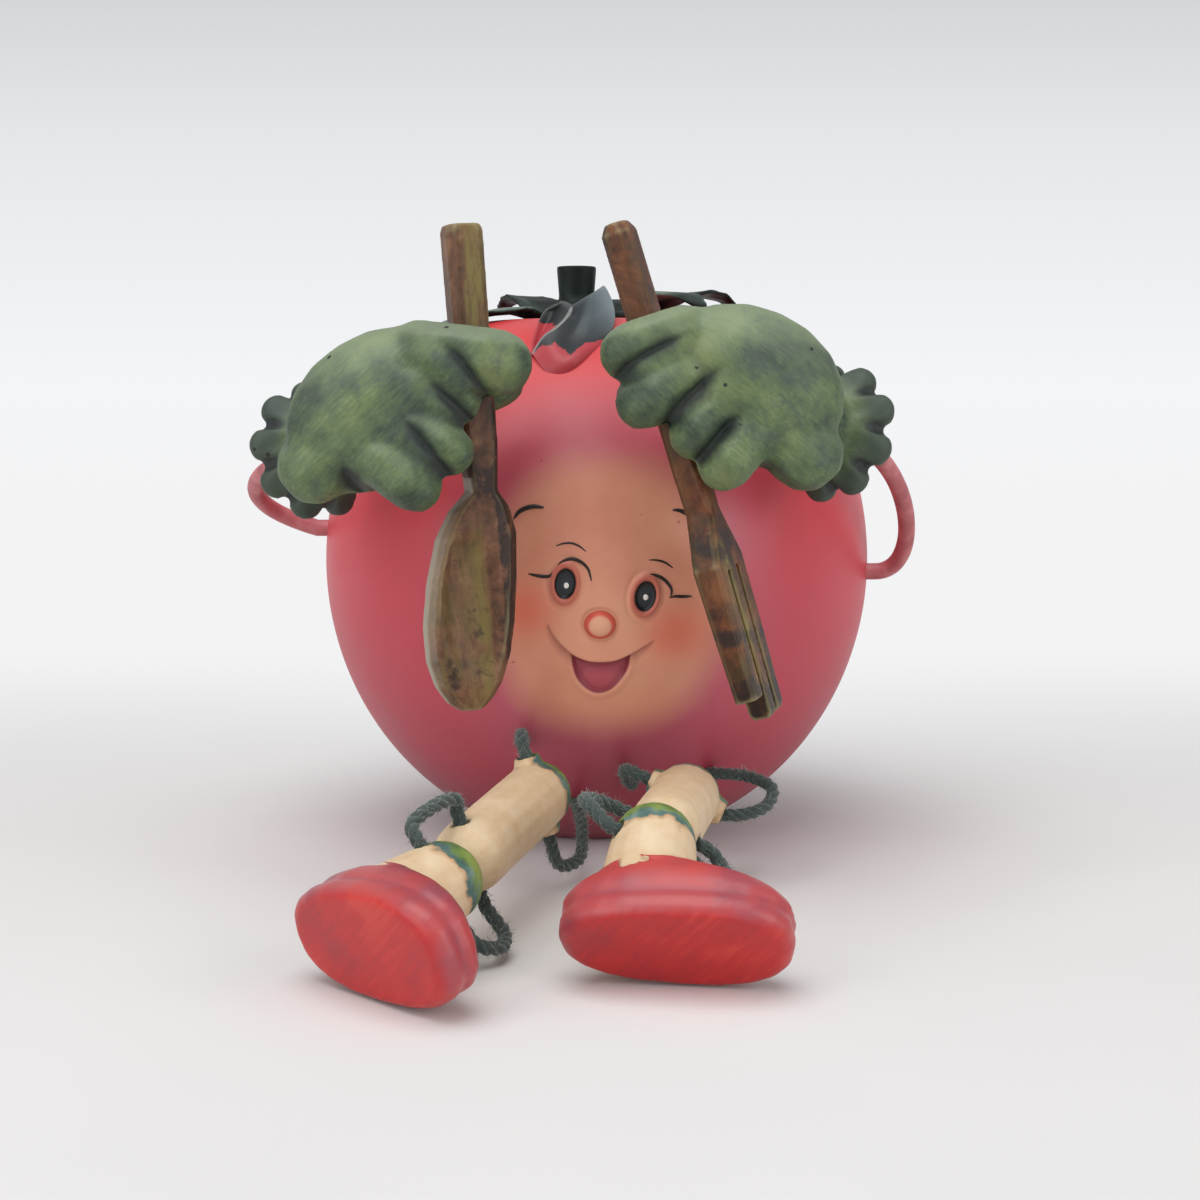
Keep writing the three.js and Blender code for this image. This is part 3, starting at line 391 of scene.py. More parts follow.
# Tomato: a cast resin fruit with a flat base and a dimpled top, painted red by airbrush.
# The face is cast in low relief on its front: raised eye rims, a button nose and an open smile.
# The skin tone is sprayed over the red in a soft patch, with rouge on the cheeks. Sizes are in mm.
TOMATO_RADIUS = 50.0
TOMATO_HEIGHT = 93.0
WAIST_HEIGHT = 49.0
FOOT_RADIUS = 18.0
RIM_RADIUS = 17.0
DIMPLE = 5.0
DIMPLE_STEPS, SHOULDER_STEPS, BELLY_STEPS, BASE_STEPS = 200, 600, 400, 40


def skin_radius(z):
    """The plain fruit's radius at a height: an ellipse above the waist and another below it."""
    if z < WAIST_HEIGHT:
        rise = WAIST_HEIGHT / math.sqrt(1 - (FOOT_RADIUS / TOMATO_RADIUS) ** 2)
        return TOMATO_RADIUS * math.sqrt(max(0.0, 1 - ((WAIST_HEIGHT - z) / rise) ** 2))
    share = min(1.0, (z - WAIST_HEIGHT) / (TOMATO_HEIGHT - WAIST_HEIGHT))
    return RIM_RADIUS + (TOMATO_RADIUS - RIM_RADIUS) * math.sqrt(1 - share ** 2)


def skin_front(x, z, lift=0.0):
    """The place on the front of the plain fruit, in metres, that is seen at x and z."""
    radius = skin_radius(z)
    y = -math.sqrt(max(0.0, radius ** 2 - x ** 2))
    slope = skin_radius(z + 0.5) - skin_radius(z - 0.5)
    normal = Vector((x / radius, y / radius, -slope)).normalized()
    return (Vector((x, y, z)) + lift * normal) * 0.001


# The outline runs from the dimple over the shoulder and the waist to the middle of the base.
outline = []
for i in range(DIMPLE_STEPS + 1):
    r = RIM_RADIUS * i / DIMPLE_STEPS
    outline.append((r, TOMATO_HEIGHT - DIMPLE * (1 - (r / RIM_RADIUS) ** 2) ** 2))
for i in range(1, SHOULDER_STEPS + 1):
    turn = 0.5 * math.pi * i / SHOULDER_STEPS
    outline.append((RIM_RADIUS + (TOMATO_RADIUS - RIM_RADIUS) * math.sin(turn),
                    WAIST_HEIGHT + (TOMATO_HEIGHT - WAIST_HEIGHT) * math.cos(turn)))
for i in range(1, BELLY_STEPS + 1):
    z = WAIST_HEIGHT * math.cos(0.5 * math.pi * i / BELLY_STEPS)
    outline.append((skin_radius(z), z))
for i in range(1, BASE_STEPS + 1):
    outline.append((FOOT_RADIUS * (1 - i / BASE_STEPS), 0.0))
outline = np.array(outline)

# The sphere's rings and meridians are crowded on the face, so that its relief is fine.
FACE_LEVEL, FACE_SPREAD, FACE_RINGS = 43, 14, 5.0
FACE_TURN, FACE_MERIDIANS = 0.38, 7.0
strides = np.hypot(*np.diff(outline, axis=0).T)
middles = 0.5 * (outline[1:, 1] + outline[:-1, 1])
crowding = 1 + FACE_RINGS * np.exp(-((middles - FACE_LEVEL) / FACE_SPREAD) ** 2)
down = np.concatenate([[0], np.cumsum(strides * crowding)])
down /= down[-1]
bearings = np.linspace(-math.pi, math.pi, 2001)
gather = 1 + FACE_MERIDIANS * np.exp(-((bearings + math.pi / 2) / FACE_TURN) ** 2)
round_share = np.concatenate([[0], np.cumsum(0.5 * (gather[1:] + gather[:-1]))])
round_share /= round_share[-1]

bpy.ops.object.select_all(action="DESELECT")
bpy.ops.mesh.primitive_uv_sphere_add(segments=360, ring_count=240, radius=0.001 * TOMATO_RADIUS)
tomato = bpy.context.object
tomato.name = "painted_tomato"

# The face, by x and z: the lines of the smile and tongue, and the places and half sizes of the rest.
# Each eye leans by an angle, and what rises or sinks does so along the skin's normal.
SMILE = [(-7.94, 42.93), (-6.98, 41.08), (-5.54, 39.27), (-3.44, 37.54), (-1.34, 36.71), (0.6, 36.53),
         (3.19, 36.78), (5.71, 37.9), (7.88, 39.14), (9.28, 40.11)]
TONGUE = [(-4.09, 37.74), (-3.86, 35.76), (-3.06, 33.55), (-1.35, 31.83), (0.27, 31.28), (2.23, 31.82),
          (4.01, 33.54), (5.14, 35.4), (5.54, 37.43)]
EYES = [((-4.97, 49.48), 0.10), ((7.88, 47.41), 0.16)]
EYE_SIZE = (2.3, 3.35)
EYE_RIM_RISE, EYE_SINK, EYE_MOAT = 0.55, 0.35, 0.16
NOSE = (0.6, 42.84)
NOSE_SIZE = (2.45, 2.2)
NOSE_RISE, NOSE_MOAT = 1.5, 0.3
CHEEKS = [(-12.0, 45.1), (12.6, 41.2)]
CHEEK_SIZE = (7.0, 6.4)
PATCH = (1.8, 47)
PATCH_SIZE = (20.4, 24.4)
PATCH_POWER = 2.5
TONGUE_CENTRE = (0.9, 33.2)
TONGUE_SIZE = (4.1, 3.4)
SMILE_RISE, SMILE_SINK, MOUTH_DEPTH, LIP_RISE = 0.45, 0.7, 0.95, 0.2
FACE_HALF_WIDTH, FACE_BOTTOM, FACE_TOP = 22, 22, 66
MOUTH_LEFT, MOUTH_RIGHT, MOUTH_BOTTOM, MOUTH_TOP = -5, 6.5, 30, 40
BRUSH_STEP = 0.35
FAR_OFF, OFF_MOUTH = 9.0, 8.0


def drawn(points):
    """A brush line through the points, as x and z in close steps."""
    path = eased_route([Vector((x, 0, z)) for x, z in points], BRUSH_STEP)
    return np.array([(p.x, p.z) for p in path])


def nearest(line, x, z):
    """How far a place is from a line, on which side of it, and how far along it the nearest point is."""
    a, b = line[:-1], line[1:]
    way = b - a
    along = (x - a[:, 0]) * way[:, 0] + (z - a[:, 1]) * way[:, 1]
    share = np.clip(along / (way ** 2).sum(axis=1), 0, 1)
    gap_x = x - a[:, 0] - share * way[:, 0]
    gap_z = z - a[:, 1] - share * way[:, 1]
    gaps = np.hypot(gap_x, gap_z)
    i = int(gaps.argmin())
    side = way[i, 0] * gap_z[i] - way[i, 1] * gap_x[i]
    return gaps[i], math.copysign(1, side), (i + share[i]) / len(a)


def bell(value):
    """One at nought, falling away smoothly on both sides."""
    return math.exp(-value * value)


def smooth_step(value, low, high):
    """Rises smoothly from nought at low to one at high."""
    share = max(0.0, min(1.0, (value - low) / (high - low)))
    return share * share * (3 - 2 * share)


smile_line = drawn(SMILE)
tongue_line = drawn(TONGUE)
marks = {name: np.full(len(tomato.data.vertices), FAR_OFF, dtype=np.float32)
         for name in ("eye", "nose", "mouth", "smile", "cheek", "patch")}
for vertex in tomato.data.vertices:
    polar = math.acos(max(-1, min(1, vertex.co.z / (0.001 * TOMATO_RADIUS)))) / math.pi
    radius = np.interp(polar, down, outline[:, 0])
    z = float(np.interp(polar, down, outline[:, 1]))
    share = (math.atan2(vertex.co.y, vertex.co.x) + math.pi) / (2 * math.pi)
    bearing = float(np.interp(share, round_share, bearings))
    x, y = radius * math.cos(bearing), radius * math.sin(bearing)
    lift = 0.0
    if y < 0:
        aside, above = abs((x - PATCH[0]) / PATCH_SIZE[0]), abs((z - PATCH[1]) / PATCH_SIZE[1])
        marks["patch"][vertex.index] = (aside ** PATCH_POWER + above ** PATCH_POWER) ** (1 / PATCH_POWER)
        marks["cheek"][vertex.index] = min(math.hypot((x - cx) / CHEEK_SIZE[0], (z - cz) / CHEEK_SIZE[1])
                                           for cx, cz in CHEEKS)
    if y < 0 and abs(x) < FACE_HALF_WIDTH and FACE_BOTTOM < z < FACE_TOP:
        for (cx, cz), lean in EYES:
            across = (x - cx) * math.cos(lean) - (z - cz) * math.sin(lean)
            up = (x - cx) * math.sin(lean) + (z - cz) * math.cos(lean)
            ring = math.hypot(across / EYE_SIZE[0], up / EYE_SIZE[1])
            marks["eye"][vertex.index] = min(marks["eye"][vertex.index], ring)
            lift += EYE_RIM_RISE * bell((ring - 0.9) / 0.17) - EYE_SINK * bell(max(0, ring - 0.55) / 0.16)
            lift -= EYE_MOAT * bell((ring - 1.3) / 0.14)
        ring = math.hypot((x - NOSE[0]) / NOSE_SIZE[0], (z - NOSE[1]) / NOSE_SIZE[1])
        marks["nose"][vertex.index] = ring
        lift += NOSE_RISE * math.sqrt(max(0.0, 1 - ring ** 2)) - NOSE_MOAT * bell((ring - 1.12) / 0.14)
        gap, side, way = nearest(smile_line, x, z)
        fade = math.sin(math.pi * min(1, max(0, way))) ** 0.5
        marks["smile"][vertex.index] = side * gap / max(fade, 0.05)
        step = 0.5 + 0.5 * max(-1, min(1, side * gap / 0.22))
        cheek_side = SMILE_RISE * step * math.exp(-gap / 4.0)
        chin_side = SMILE_SINK * (1 - step) * math.exp(-gap / 2.6)
        lift += fade * (cheek_side - chin_side)
        rim, inside, _ = nearest(tongue_line, x, z)
        near_mouth = MOUTH_LEFT < x < MOUTH_RIGHT and MOUTH_BOTTOM < z < MOUTH_TOP
        lips = max(side * gap, -inside * rim) if near_mouth else OFF_MOUTH
        marks["mouth"][vertex.index] = lips
        hollow = max(0.0, min(1.0, -lips / 0.6))
        aside, above = (x - TONGUE_CENTRE[0]) / TONGUE_SIZE[0], (z - TONGUE_CENTRE[1]) / TONGUE_SIZE[1]
        bulge = max(0.0, 1 - aside ** 2 - above ** 2)
        lower_lip = LIP_RISE * bell((lips - 0.5) / 0.5) * (1 - step)
        lift += hollow * (MOUTH_DEPTH * bulge - MOUTH_DEPTH) + lower_lip
    before, after = max(0, polar - 0.002), min(1, polar + 0.002)
    slope_r, slope_z = (np.interp(after, down, line) - np.interp(before, down, line) for line in outline.T)
    steep = math.hypot(slope_r, slope_z) or 1.0
    out_r, out_z = -slope_z / steep, slope_r / steep
    vertex.co = 0.001 * Vector((x + lift * out_r * math.cos(bearing),
                                y + lift * out_r * math.sin(bearing),
                                z + lift * out_z))
for name, values in marks.items():
    store(tomato, name, values)
bpy.ops.object.shade_smooth()

# Airbrushed resin: a satin red, dull and mauve towards the base and warm at the top, partly airbrushed and
# partly painted light: shade low down and a highlight on top. It clouds softly into the flesh tone of the
# face.
# Paint is darker in the mouth and round the eyes, with a few flecks, and painted shade lies under the smile
# line.
fruit, tree, shader = new_material("airbrushed_red_resin")
spot = node(tree, "TexCoord")
height = node(tree, "SeparateXYZ", [spot])
clouds = node(tree, "TexNoise", {"Vector": spot, "Scale": every(26), "Detail": 4, "Roughness": 0.6})
# Painted light: the red grows darker and mauve low down, as shade, and warmer at the top, as a highlight.
level = node(tree, "MapRange", [height.outputs["Z"], 0.0, 0.093, 0.0, 1.0])
drift = node(tree, "Math", [clouds, -0.5], operation="ADD")
height_light_level = node(tree, "Math", [drift, 0.28, level], operation="MULTIPLY_ADD")
red = node(tree, "ValToRGB", [height_light_level],
           [(0.0, "#8d3344"), (0.25, "#ad3c4c"), (0.5, "#c4424e"), (0.78, "#ca3f47"), (0.96, "#cd393c")])
patch = node(tree, "Attribute", attribute_name="patch")
ragged = node(tree, "Math", [drift, 0.32, patch], operation="MULTIPLY_ADD")
far_out = node(tree, "Math", [ragged, 1.5], operation="DIVIDE")
veil = node(tree, "ValToRGB", [far_out], [(0.5, 0.95), (0.74, 0.5), (1.0, 0.0)])
mauve = node(tree, "Mix", [veil, red, "#b8586a"], data_type="RGBA")
sprayed = node(tree, "MapRange", [ragged, 1.06, 0.72, 0.0, 1.0], interpolation_type="SMOOTHSTEP")
skin_tone = node(tree, "ValToRGB", [clouds], [(0.3, "#cd846b"), (0.5, "#d99276"), (0.7, "#df9e80")])
faced = node(tree, "Mix", [sprayed, mauve, skin_tone], data_type="RGBA")
cheek = node(tree, "Attribute", attribute_name="cheek")
rouge_share = node(tree, "MapRange", [cheek, 1.2, 0.0, 0.0, 0.75], interpolation_type="SMOOTHSTEP")
rouged = node(tree, "Mix", [rouge_share, faced, "#e06a52"], data_type="RGBA")
smile = node(tree, "Attribute", attribute_name="smile")
# Painted shade: the skin just under the smile line is darkened, where the relief sinks.
shade_below = node(tree, "MapRange", [smile, -2.2, -0.15, 0.0, 0.5])
above = node(tree, "Math", [smile, 0.12], operation="LESS_THAN")
smile_shade = node(tree, "Math", [shade_below, above], operation="MULTIPLY")
smile_shaded = node(tree, "Mix", [smile_shade, rouged, "#9c4a45"], data_type="RGBA")
mouth = node(tree, "Attribute", attribute_name="mouth")
inside = node(tree, "MapRange", [mouth, 0.12, -0.12, 0.0, 1.0])
depth = node(tree, "MapRange", [mouth, 0.0, -1.3, 0.0, 1.0])
tongue = node(tree, "ValToRGB", [depth], [(0.0, "#842f3a"), (1.0, "#b04a58")])
mouthed = node(tree, "Mix", [inside, smile_shaded, tongue], data_type="RGBA")
nose = node(tree, "Attribute", attribute_name="nose")
nose_paint = node(tree, "ValToRGB", [nose],
                  [(0.0, "#e2a987"), (0.66, "#dda081"), (0.78, "#d5604c"), (0.98, "#cc5140"),
                   (1.0, "#c0543f")])
on_nose = node(tree, "MapRange", [nose, 1.12, 1.0, 0.0, 1.0])
nosed = node(tree, "Mix", [on_nose, mouthed, nose_paint], data_type="RGBA")
eye = node(tree, "Attribute", attribute_name="eye")
rim_share = node(tree, "MapRange", [eye, 1.16, 0.98, 0.0, 0.85])
rimmed = node(tree, "Mix", [rim_share, nosed, "#bd5f4e"], data_type="RGBA")
pupil_share = node(tree, "MapRange", [eye, 0.765, 0.725, 0.0, 1.0])
pupil_paint = node(tree, "ValToRGB", [eye],
                   [(0.0, "#2c343a"), (0.45, "#1d2429"), (0.62, "#0b0d10"), (0.8, "#08080a")])
eyed = node(tree, "Mix", [pupil_share, rimmed, pupil_paint], data_type="RGBA")
specks = node(tree, "TexNoise", {"Vector": spot, "Scale": every(1.6), "Detail": 1})
fleck = node(tree, "MapRange", [specks, 0.8, 0.82, 0.0, 0.6])
flecked = node(tree, "Mix", [fleck, eyed, "#8e2c33"], data_type="RGBA")
grain = node(tree, "TexNoise", {"Vector": spot, "Scale": every(1.1), "Detail": 3})
satin = node(tree, "MapRange", [clouds, 0.3, 0.7, 0.36, 0.5])
mist = node(tree, "Bump", {"Height": grain, "Strength": 0.12, "Distance": 0.0002})
fill(tree, shader, {"Base Color": flecked, "Roughness": satin, "Normal": mist})
tomato.data.materials.append(fruit)
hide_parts("tomato_body")
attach(tomato, "body")

# Face strokes: brows, lids and lashes, laid on with a fine brush in black so that the paint stands a
# little proud. Each stroke is a thin bead that tapers to its ends, given by its half width and its points.
# Brush paint: black with a soft shine, browner where it is thin.
ink, tree, shader = new_material("black_brush_paint")
spot = node(tree, "TexCoord")
thin = node(tree, "TexNoise", {"Vector": spot, "Scale": every(0.67), "Detail": 2})
black = node(tree, "ValToRGB", [thin], [(0.4, "#0e0b0a"), (0.75, "#2c211c")])
fill(tree, shader, {"Base Color": black, "Roughness": 0.45})
STROKES = {
    "left_brow": (0.40, [(-13.3, 59.7), (-12.6, 60.7), (-11.6, 61.35), (-10.1, 61.75), (-8.4, 61.6)]),
    "right_brow": (0.36, [(12.3, 61.15), (13.4, 61.05), (14.6, 60.5), (15.7, 59.4)]),
    "left_fine_brow": (0.18, [(-6.5, 55.5), (-5.33, 55.91), (-4.05, 56.0), (-2.76, 55.53), (-1.64, 54.66)]),
    "right_fine_brow": (0.18, [(8.47, 53.24), (9.6, 53.22), (11.05, 52.8), (12.36, 51.88)]),
    "left_lid": (0.28, [(-7.5, 50.6), (-6.62, 51.75), (-5.49, 52.95), (-4.05, 53.5), (-2.44, 52.98),
                        (-1.32, 51.87), (-0.76, 49.94)]),
    "left_lash": (0.29, [(-10.9, 51.0), (-9.6, 50.75), (-8.4, 50.62), (-7.4, 50.72), (-6.75, 51.5)]),
    "right_lid": (0.28, [(7.99, 50.9), (9.28, 50.85), (10.57, 50.3), (11.55, 49.4), (12.15, 48.3),
                         (12.0, 47.35)]),
    "right_lash": (0.26, [(11.8, 47.1), (12.6, 47.3), (13.6, 47.25), (15.5, 47.2)]),
}
STROKE_STAND = 0.02


def round_line(piece, radius, facets):
    """Turns a line into a round bead and returns its mesh."""
    piece.data.bevel_depth = radius
    piece.data.bevel_resolution = facets
    bpy.ops.object.convert(target="MESH")
    bpy.ops.object.shade_smooth()
    return bpy.context.object


for name, (width, points) in STROKES.items():
    route = [skin_front(x, z, STROKE_STAND) for x, z in drawn(points)]
    reach = len(route) - 1
    radii = [max(0.12, math.sin(math.pi * (0.04 + 0.92 * i / reach)) ** 0.55) for i in range(len(route))]
    stroke = round_line(line_curve(name, route, radii), 0.001 * width, 3)
    stroke.data.materials.append(ink)
    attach(stroke, "body")

# Eye lights: one dot of white paint on each pupil, set down with the tip of the brush.
# Dot paint: a thick warm white with a slight shine.
EYE_LIGHTS = {"left_eye_light": (-4.85, 49.15), "right_eye_light": (8.0, 47.2)}
DOT_RADIUS = 0.00042
DOT_SHAPE = (1, 0.4, 1.15)
DOT_SINK = 0.3
glint, tree, shader = new_material("white_dot_paint")
spot = node(tree, "TexCoord")
thick = node(tree, "TexNoise", {"Vector": spot, "Scale": every(0.56), "Detail": 2})
white = node(tree, "ValToRGB", [thick], [(0.3, "#dcd9d2"), (0.6, "#f4f1ec")])
fill(tree, shader, {"Base Color": white, "Roughness": 0.35})
for name, (x, z) in EYE_LIGHTS.items():
    bpy.ops.object.select_all(action="DESELECT")
    bpy.ops.mesh.primitive_uv_sphere_add(segments=20, ring_count=12, radius=DOT_RADIUS)
    dot = bpy.context.object
    dot.name = name
    bpy.ops.object.mode_set(mode="EDIT")
    bpy.ops.mesh.select_all(action="SELECT")
    bpy.ops.transform.resize(value=DOT_SHAPE)
    bpy.ops.object.mode_set(mode="OBJECT")
    dot.location = skin_front(x, z, -DOT_SINK)
    bpy.ops.object.transform_apply(location=True, rotation=True, scale=True)
    dot.data.materials.append(glint)
    bpy.ops.object.shade_smooth()
    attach(dot, "body")

# Calyx and stem: cast leaves in black green over a grey undercoat, curled at their edges, and a cut stub.
# The rosette is open at the front, where the front leaf is laid on, and its left leaf droops a little.
FRONT_LEAF_AZIMUTH = math.radians(-100)
OPENING_NEAR, OPENING_FAR, OPENING_SPREAD = 0.0105, 0.045, 0.75
OPENING_LEVEL, OPENING_RISE = 0.09, 0.03
LEFT_LEAF_AZIMUTH, LEFT_LEAF_SPREAD = math.radians(20), math.radians(32)
LEFT_LEAF_DROOP = 0.0013
LEFT_PATCH, RIGHT_PATCH = (-21, -8), (7, -18)
PATCH_SHARE, UNDERSIDE_SHADE = 0.75, 0.35


def cast_copy(node_name, name, voxel, rubs, marks=0, lobes=(), cut_by=None):
    """A copy of a CAD node with lobes added or a part cut away, recast as one fine skin and rubbed smooth."""
    piece = bpy.data.objects.new(name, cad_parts[node_name].data.copy())
    piece.data.materials.clear()
    take_up(piece)
    bpy.ops.object.mode_set(mode="EDIT")
    bpy.ops.mesh.select_all(action="SELECT")
    bpy.ops.mesh.remove_doubles(threshold=1e-6)
    for centre, turn, size in lobes:
        bpy.ops.mesh.primitive_ico_sphere_add(subdivisions=3, radius=1, location=centre, rotation=turn,
                                              scale=size)
    bpy.ops.object.mode_set(mode="OBJECT")
    if cut_by:
        trim = piece.modifiers.new("trim", "BOOLEAN")
        trim.object = cut_by
        bpy.ops.object.modifier_apply(modifier=trim.name)
    skin = piece.modifiers.new("skin", "REMESH")
    skin.mode = "VOXEL"
    skin.voxel_size = voxel
    bpy.ops.object.modifier_apply(modifier=skin.name)
    rub = piece.modifiers.new("rub", "SMOOTH")
    rub.factor = 0.5
    rub.iterations = rubs
    bpy.ops.object.modifier_apply(modifier=rub.name)
    bpy.ops.object.shade_smooth()
    if marks:
        mark_hollows(piece, marks)
    return piece


def dress(piece, material, node_name, body):
    """Paints a finished piece and puts it in its node's place on a body."""
    piece.data.materials.append(material)
    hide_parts(node_name)
    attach(piece, body)


# Brushed paint: a black green, mottled where it is thin, black in the hollows and under the leaves, partly a
# dark wash and partly painted shade, grey on the edges, partly wear and partly painted highlight, and with
# pale patches, the left one only on upward faces, as painted light on top.
leafy, tree, shader = new_material("brushed_leaf_paint")
spot = node(tree, "TexCoord")
mottle = node(tree, "TexNoise", {"Vector": spot, "Scale": every(7.7), "Detail": 6, "Roughness": 0.6})
hollow = node(tree, "Attribute", attribute_name="hollow")
green = node(tree, "ValToRGB", [mottle],
             [(0.3, "#0b1110"), (0.46, "#121c18"), (0.58, "#21302a"), (0.72, "#47564c")])
# Black in the hollows: partly a dark wash, partly painted shade.
low = node(tree, "MapRange", [hollow, 0.0, 0.3, 0.0, 0.8])
wash_and_shade_darkened = node(tree, "Mix", [low, green, "#090d0e"], data_type="RGBA")
# Grey on the edges: partly wear, partly a painted highlight.
high = node(tree, "MapRange", [hollow, -0.12, -0.4, 0.0, 0.5])
worn = node(tree, "Mix", [high, wash_and_shade_darkened, "#7c8884"], data_type="RGBA")
up = node(tree, "Attribute", attribute_name="up")
patched = node(tree, "Mix", [up, worn, "#75847a"], data_type="RGBA")
brush = node(tree, "Bump", {"Height": mottle, "Strength": 0.25, "Distance": 0.0004})
fill(tree, shader, {"Base Color": patched, "Roughness": 0.5, "Specular IOR Level": 0.2, "Normal": brush})

aim = Vector((math.cos(FRONT_LEAF_AZIMUTH), math.sin(FRONT_LEAF_AZIMUTH), 0))
aside = Vector((-aim.y, aim.x, 0))
bpy.ops.mesh.primitive_cube_add(size=2)
opening = bpy.context.object
for vertex in opening.data.vertices:
    out = OPENING_NEAR if vertex.co.x < 0 else OPENING_FAR
    level = Vector((0, 0, OPENING_LEVEL + OPENING_RISE * vertex.co.z))
    vertex.co = out * aim + OPENING_SPREAD * out * vertex.co.y * aside + level
calyx = cast_copy("calyx", "curled_calyx", voxel=0.0004, rubs=7, marks=14, cut_by=opening)
bpy.data.objects.remove(opening)
patches = []
hollows = calyx.data.attributes["hollow"].data
for vertex in calyx.data.vertices:
    x, y = 1000 * vertex.co.xy
    # Painted shade: faces turned downwards count as hollows, so the undersides of the leaves paint darker.
    shade_below = UNDERSIDE_SHADE * smooth_step(-vertex.normal.z, 0.0, 0.4)
    hollows[vertex.index].value = max(hollows[vertex.index].value, shade_below)
    if x < 0 and abs(math.atan2(-y, -x) - LEFT_LEAF_AZIMUTH) < LEFT_LEAF_SPREAD:
        vertex.co.z -= LEFT_LEAF_DROOP * smooth_step(math.hypot(x, y), 13, 22)
    # Pale patches: the left one only on upward faces, as painted light on top.
    left = smooth_step(math.dist((x, y), LEFT_PATCH), 15, 6) * smooth_step(vertex.normal.z, 0.2, 0.6)
    right = smooth_step(math.dist((x, y), RIGHT_PATCH), 8, 4)
    patches.append(PATCH_SHARE * max(left, right))
store(calyx, "up", patches)
dress(calyx, leafy, "calyx", "body")
stem = cast_copy("stem", "cut_stem", voxel=0.0003, rubs=7, marks=2)
dress(stem, leafy, "stem", "body")

# Front leaf: it lies over the brow, its left edge rolled up, its tip moulded into the fruit and its dark
# neck joined to the hub of the rosette. Slate paint covers it down to a ragged edge above the red tip.
# The columns go from the back of the roll over its pale rim to the right edge, each from tip to neck.
LEAF_COLUMNS = [metres(*column) for column in (
    [(-10.9, -33.2, 86.4), (-10.5, -30.3, 89.1), (-9.8, -27.6, 91.7), (-8.8, -26.0, 93.8),
     (-6.2, -25.0, 95.2), (-7.2, -18.0, 94.3), (-6.0, -9.2, 92.4)],
    [(-10.8, -33.4, 86.2), (-9.5, -29.8, 88.9), (-8.1, -26.8, 91.6), (-6.9, -25.4, 93.6), (-5.2, -24.8, 95.0),
     (-5.6, -18.2, 94.4), (-4.4, -9.3, 92.4)],
    [(-10.6, -33.8, 86.2), (-8.8, -32.5, 89.0), (-6.7, -31.4, 90.6), (-5.0, -29.8, 92.4), (-4.1, -28.0, 94.2),
     (-3.9, -18.5, 94.4), (-2.8, -9.4, 92.4)],
    [(-7.7, -36.7, 82.8), (-6.0, -36.3, 85.6), (-4.4, -32.0, 88.7), (-3.3, -29.2, 91.5), (-2.3, -25.0, 95.5),
     (-2.2, -17.8, 94.6), (-1.2, -9.4, 92.4)],
    [(-3.9, -36.6, 83.1), (-2.7, -35.8, 86.0), (-1.4, -31.4, 89.2), (-0.8, -27.5, 92.5), (-0.4, -22.0, 96.8),
     (-0.2, -16.6, 95.0), (0.6, -9.3, 92.4)],
    [(1.1, -31.8, 87.6), (2.1, -29.8, 89.5), (3.0, -26.5, 91.6), (2.8, -22.5, 94.8), (1.3, -18.0, 98.2),
     (2.2, -15.0, 95.2), (2.8, -9.0, 92.4)],
)]
LAST_COLUMN = len(LEAF_COLUMNS) - 1
LAST_ROW = len(LEAF_COLUMNS[0]) - 1
LEAF_THICKNESS = 0.0007
RIM_COLUMN = 2
NECK_START, NECK_DARK = 3.95, 4.15
PAINT_EDGE = ((0, 1.9), (1.98, 2.1), (2.02, 0.0), (2.25, 0.7), (2.5, 1.2), (3, 1.4), (3.5, 1.15), (4, 1.5),
              (4.5, 1.2), (5, 0.55))


def eased(points, place):
    """The place on a smooth line through the points, counted in points from its start."""
    i = min(int(place), len(points) - 2)
    t = place - i
    p0, p1, p2, p3 = (points[max(0, min(len(points) - 1, k))] for k in range(i - 1, i + 3))
    return 0.5 * (2 * p1 + (p2 - p0) * t + (2 * p0 - 5 * p1 + 4 * p2 - p3) * t ** 2
                  + (3 * p1 - p0 - 3 * p2 + p3) * t ** 3)


bpy.ops.object.select_all(action="DESELECT")
bpy.ops.mesh.primitive_grid_add(x_subdivisions=100, y_subdivisions=84, size=2)
leaf = bpy.context.object
leaf.name = "rolled_front_leaf"
rolls, lips, necks = [], [], []
for vertex in leaf.data.vertices:
    column = 0.5 * LAST_COLUMN * (vertex.co.x + 1)
    row = 0.5 * LAST_ROW * (vertex.co.y + 1)
    across = [eased(points, row) for points in LEAF_COLUMNS]
    if column < RIM_COLUMN:
        vertex.co = eased(across[:RIM_COLUMN + 1], column)
    else:
        vertex.co = eased(across[RIM_COLUMN:], column - RIM_COLUMN)
    rolls.append(column)
    lips.append(row - float(np.interp(column, *zip(*PAINT_EDGE))))
    necks.append(smooth_step(row, NECK_START, NECK_DARK))
for name, values in (("roll", rolls), ("lip", lips), ("neck", necks)):
    store(leaf, name, values)
thick = leaf.modifiers.new("thick", "SOLIDIFY")
thick.thickness = LEAF_THICKNESS
thick.offset = 0
bpy.ops.object.modifier_apply(modifier=thick.name)
bpy.ops.object.mode_set(mode="EDIT")
bpy.ops.mesh.select_all(action="SELECT")
bpy.ops.mesh.normals_make_consistent(inside=False)
bpy.ops.object.mode_set(mode="OBJECT")
bpy.ops.object.shade_smooth()

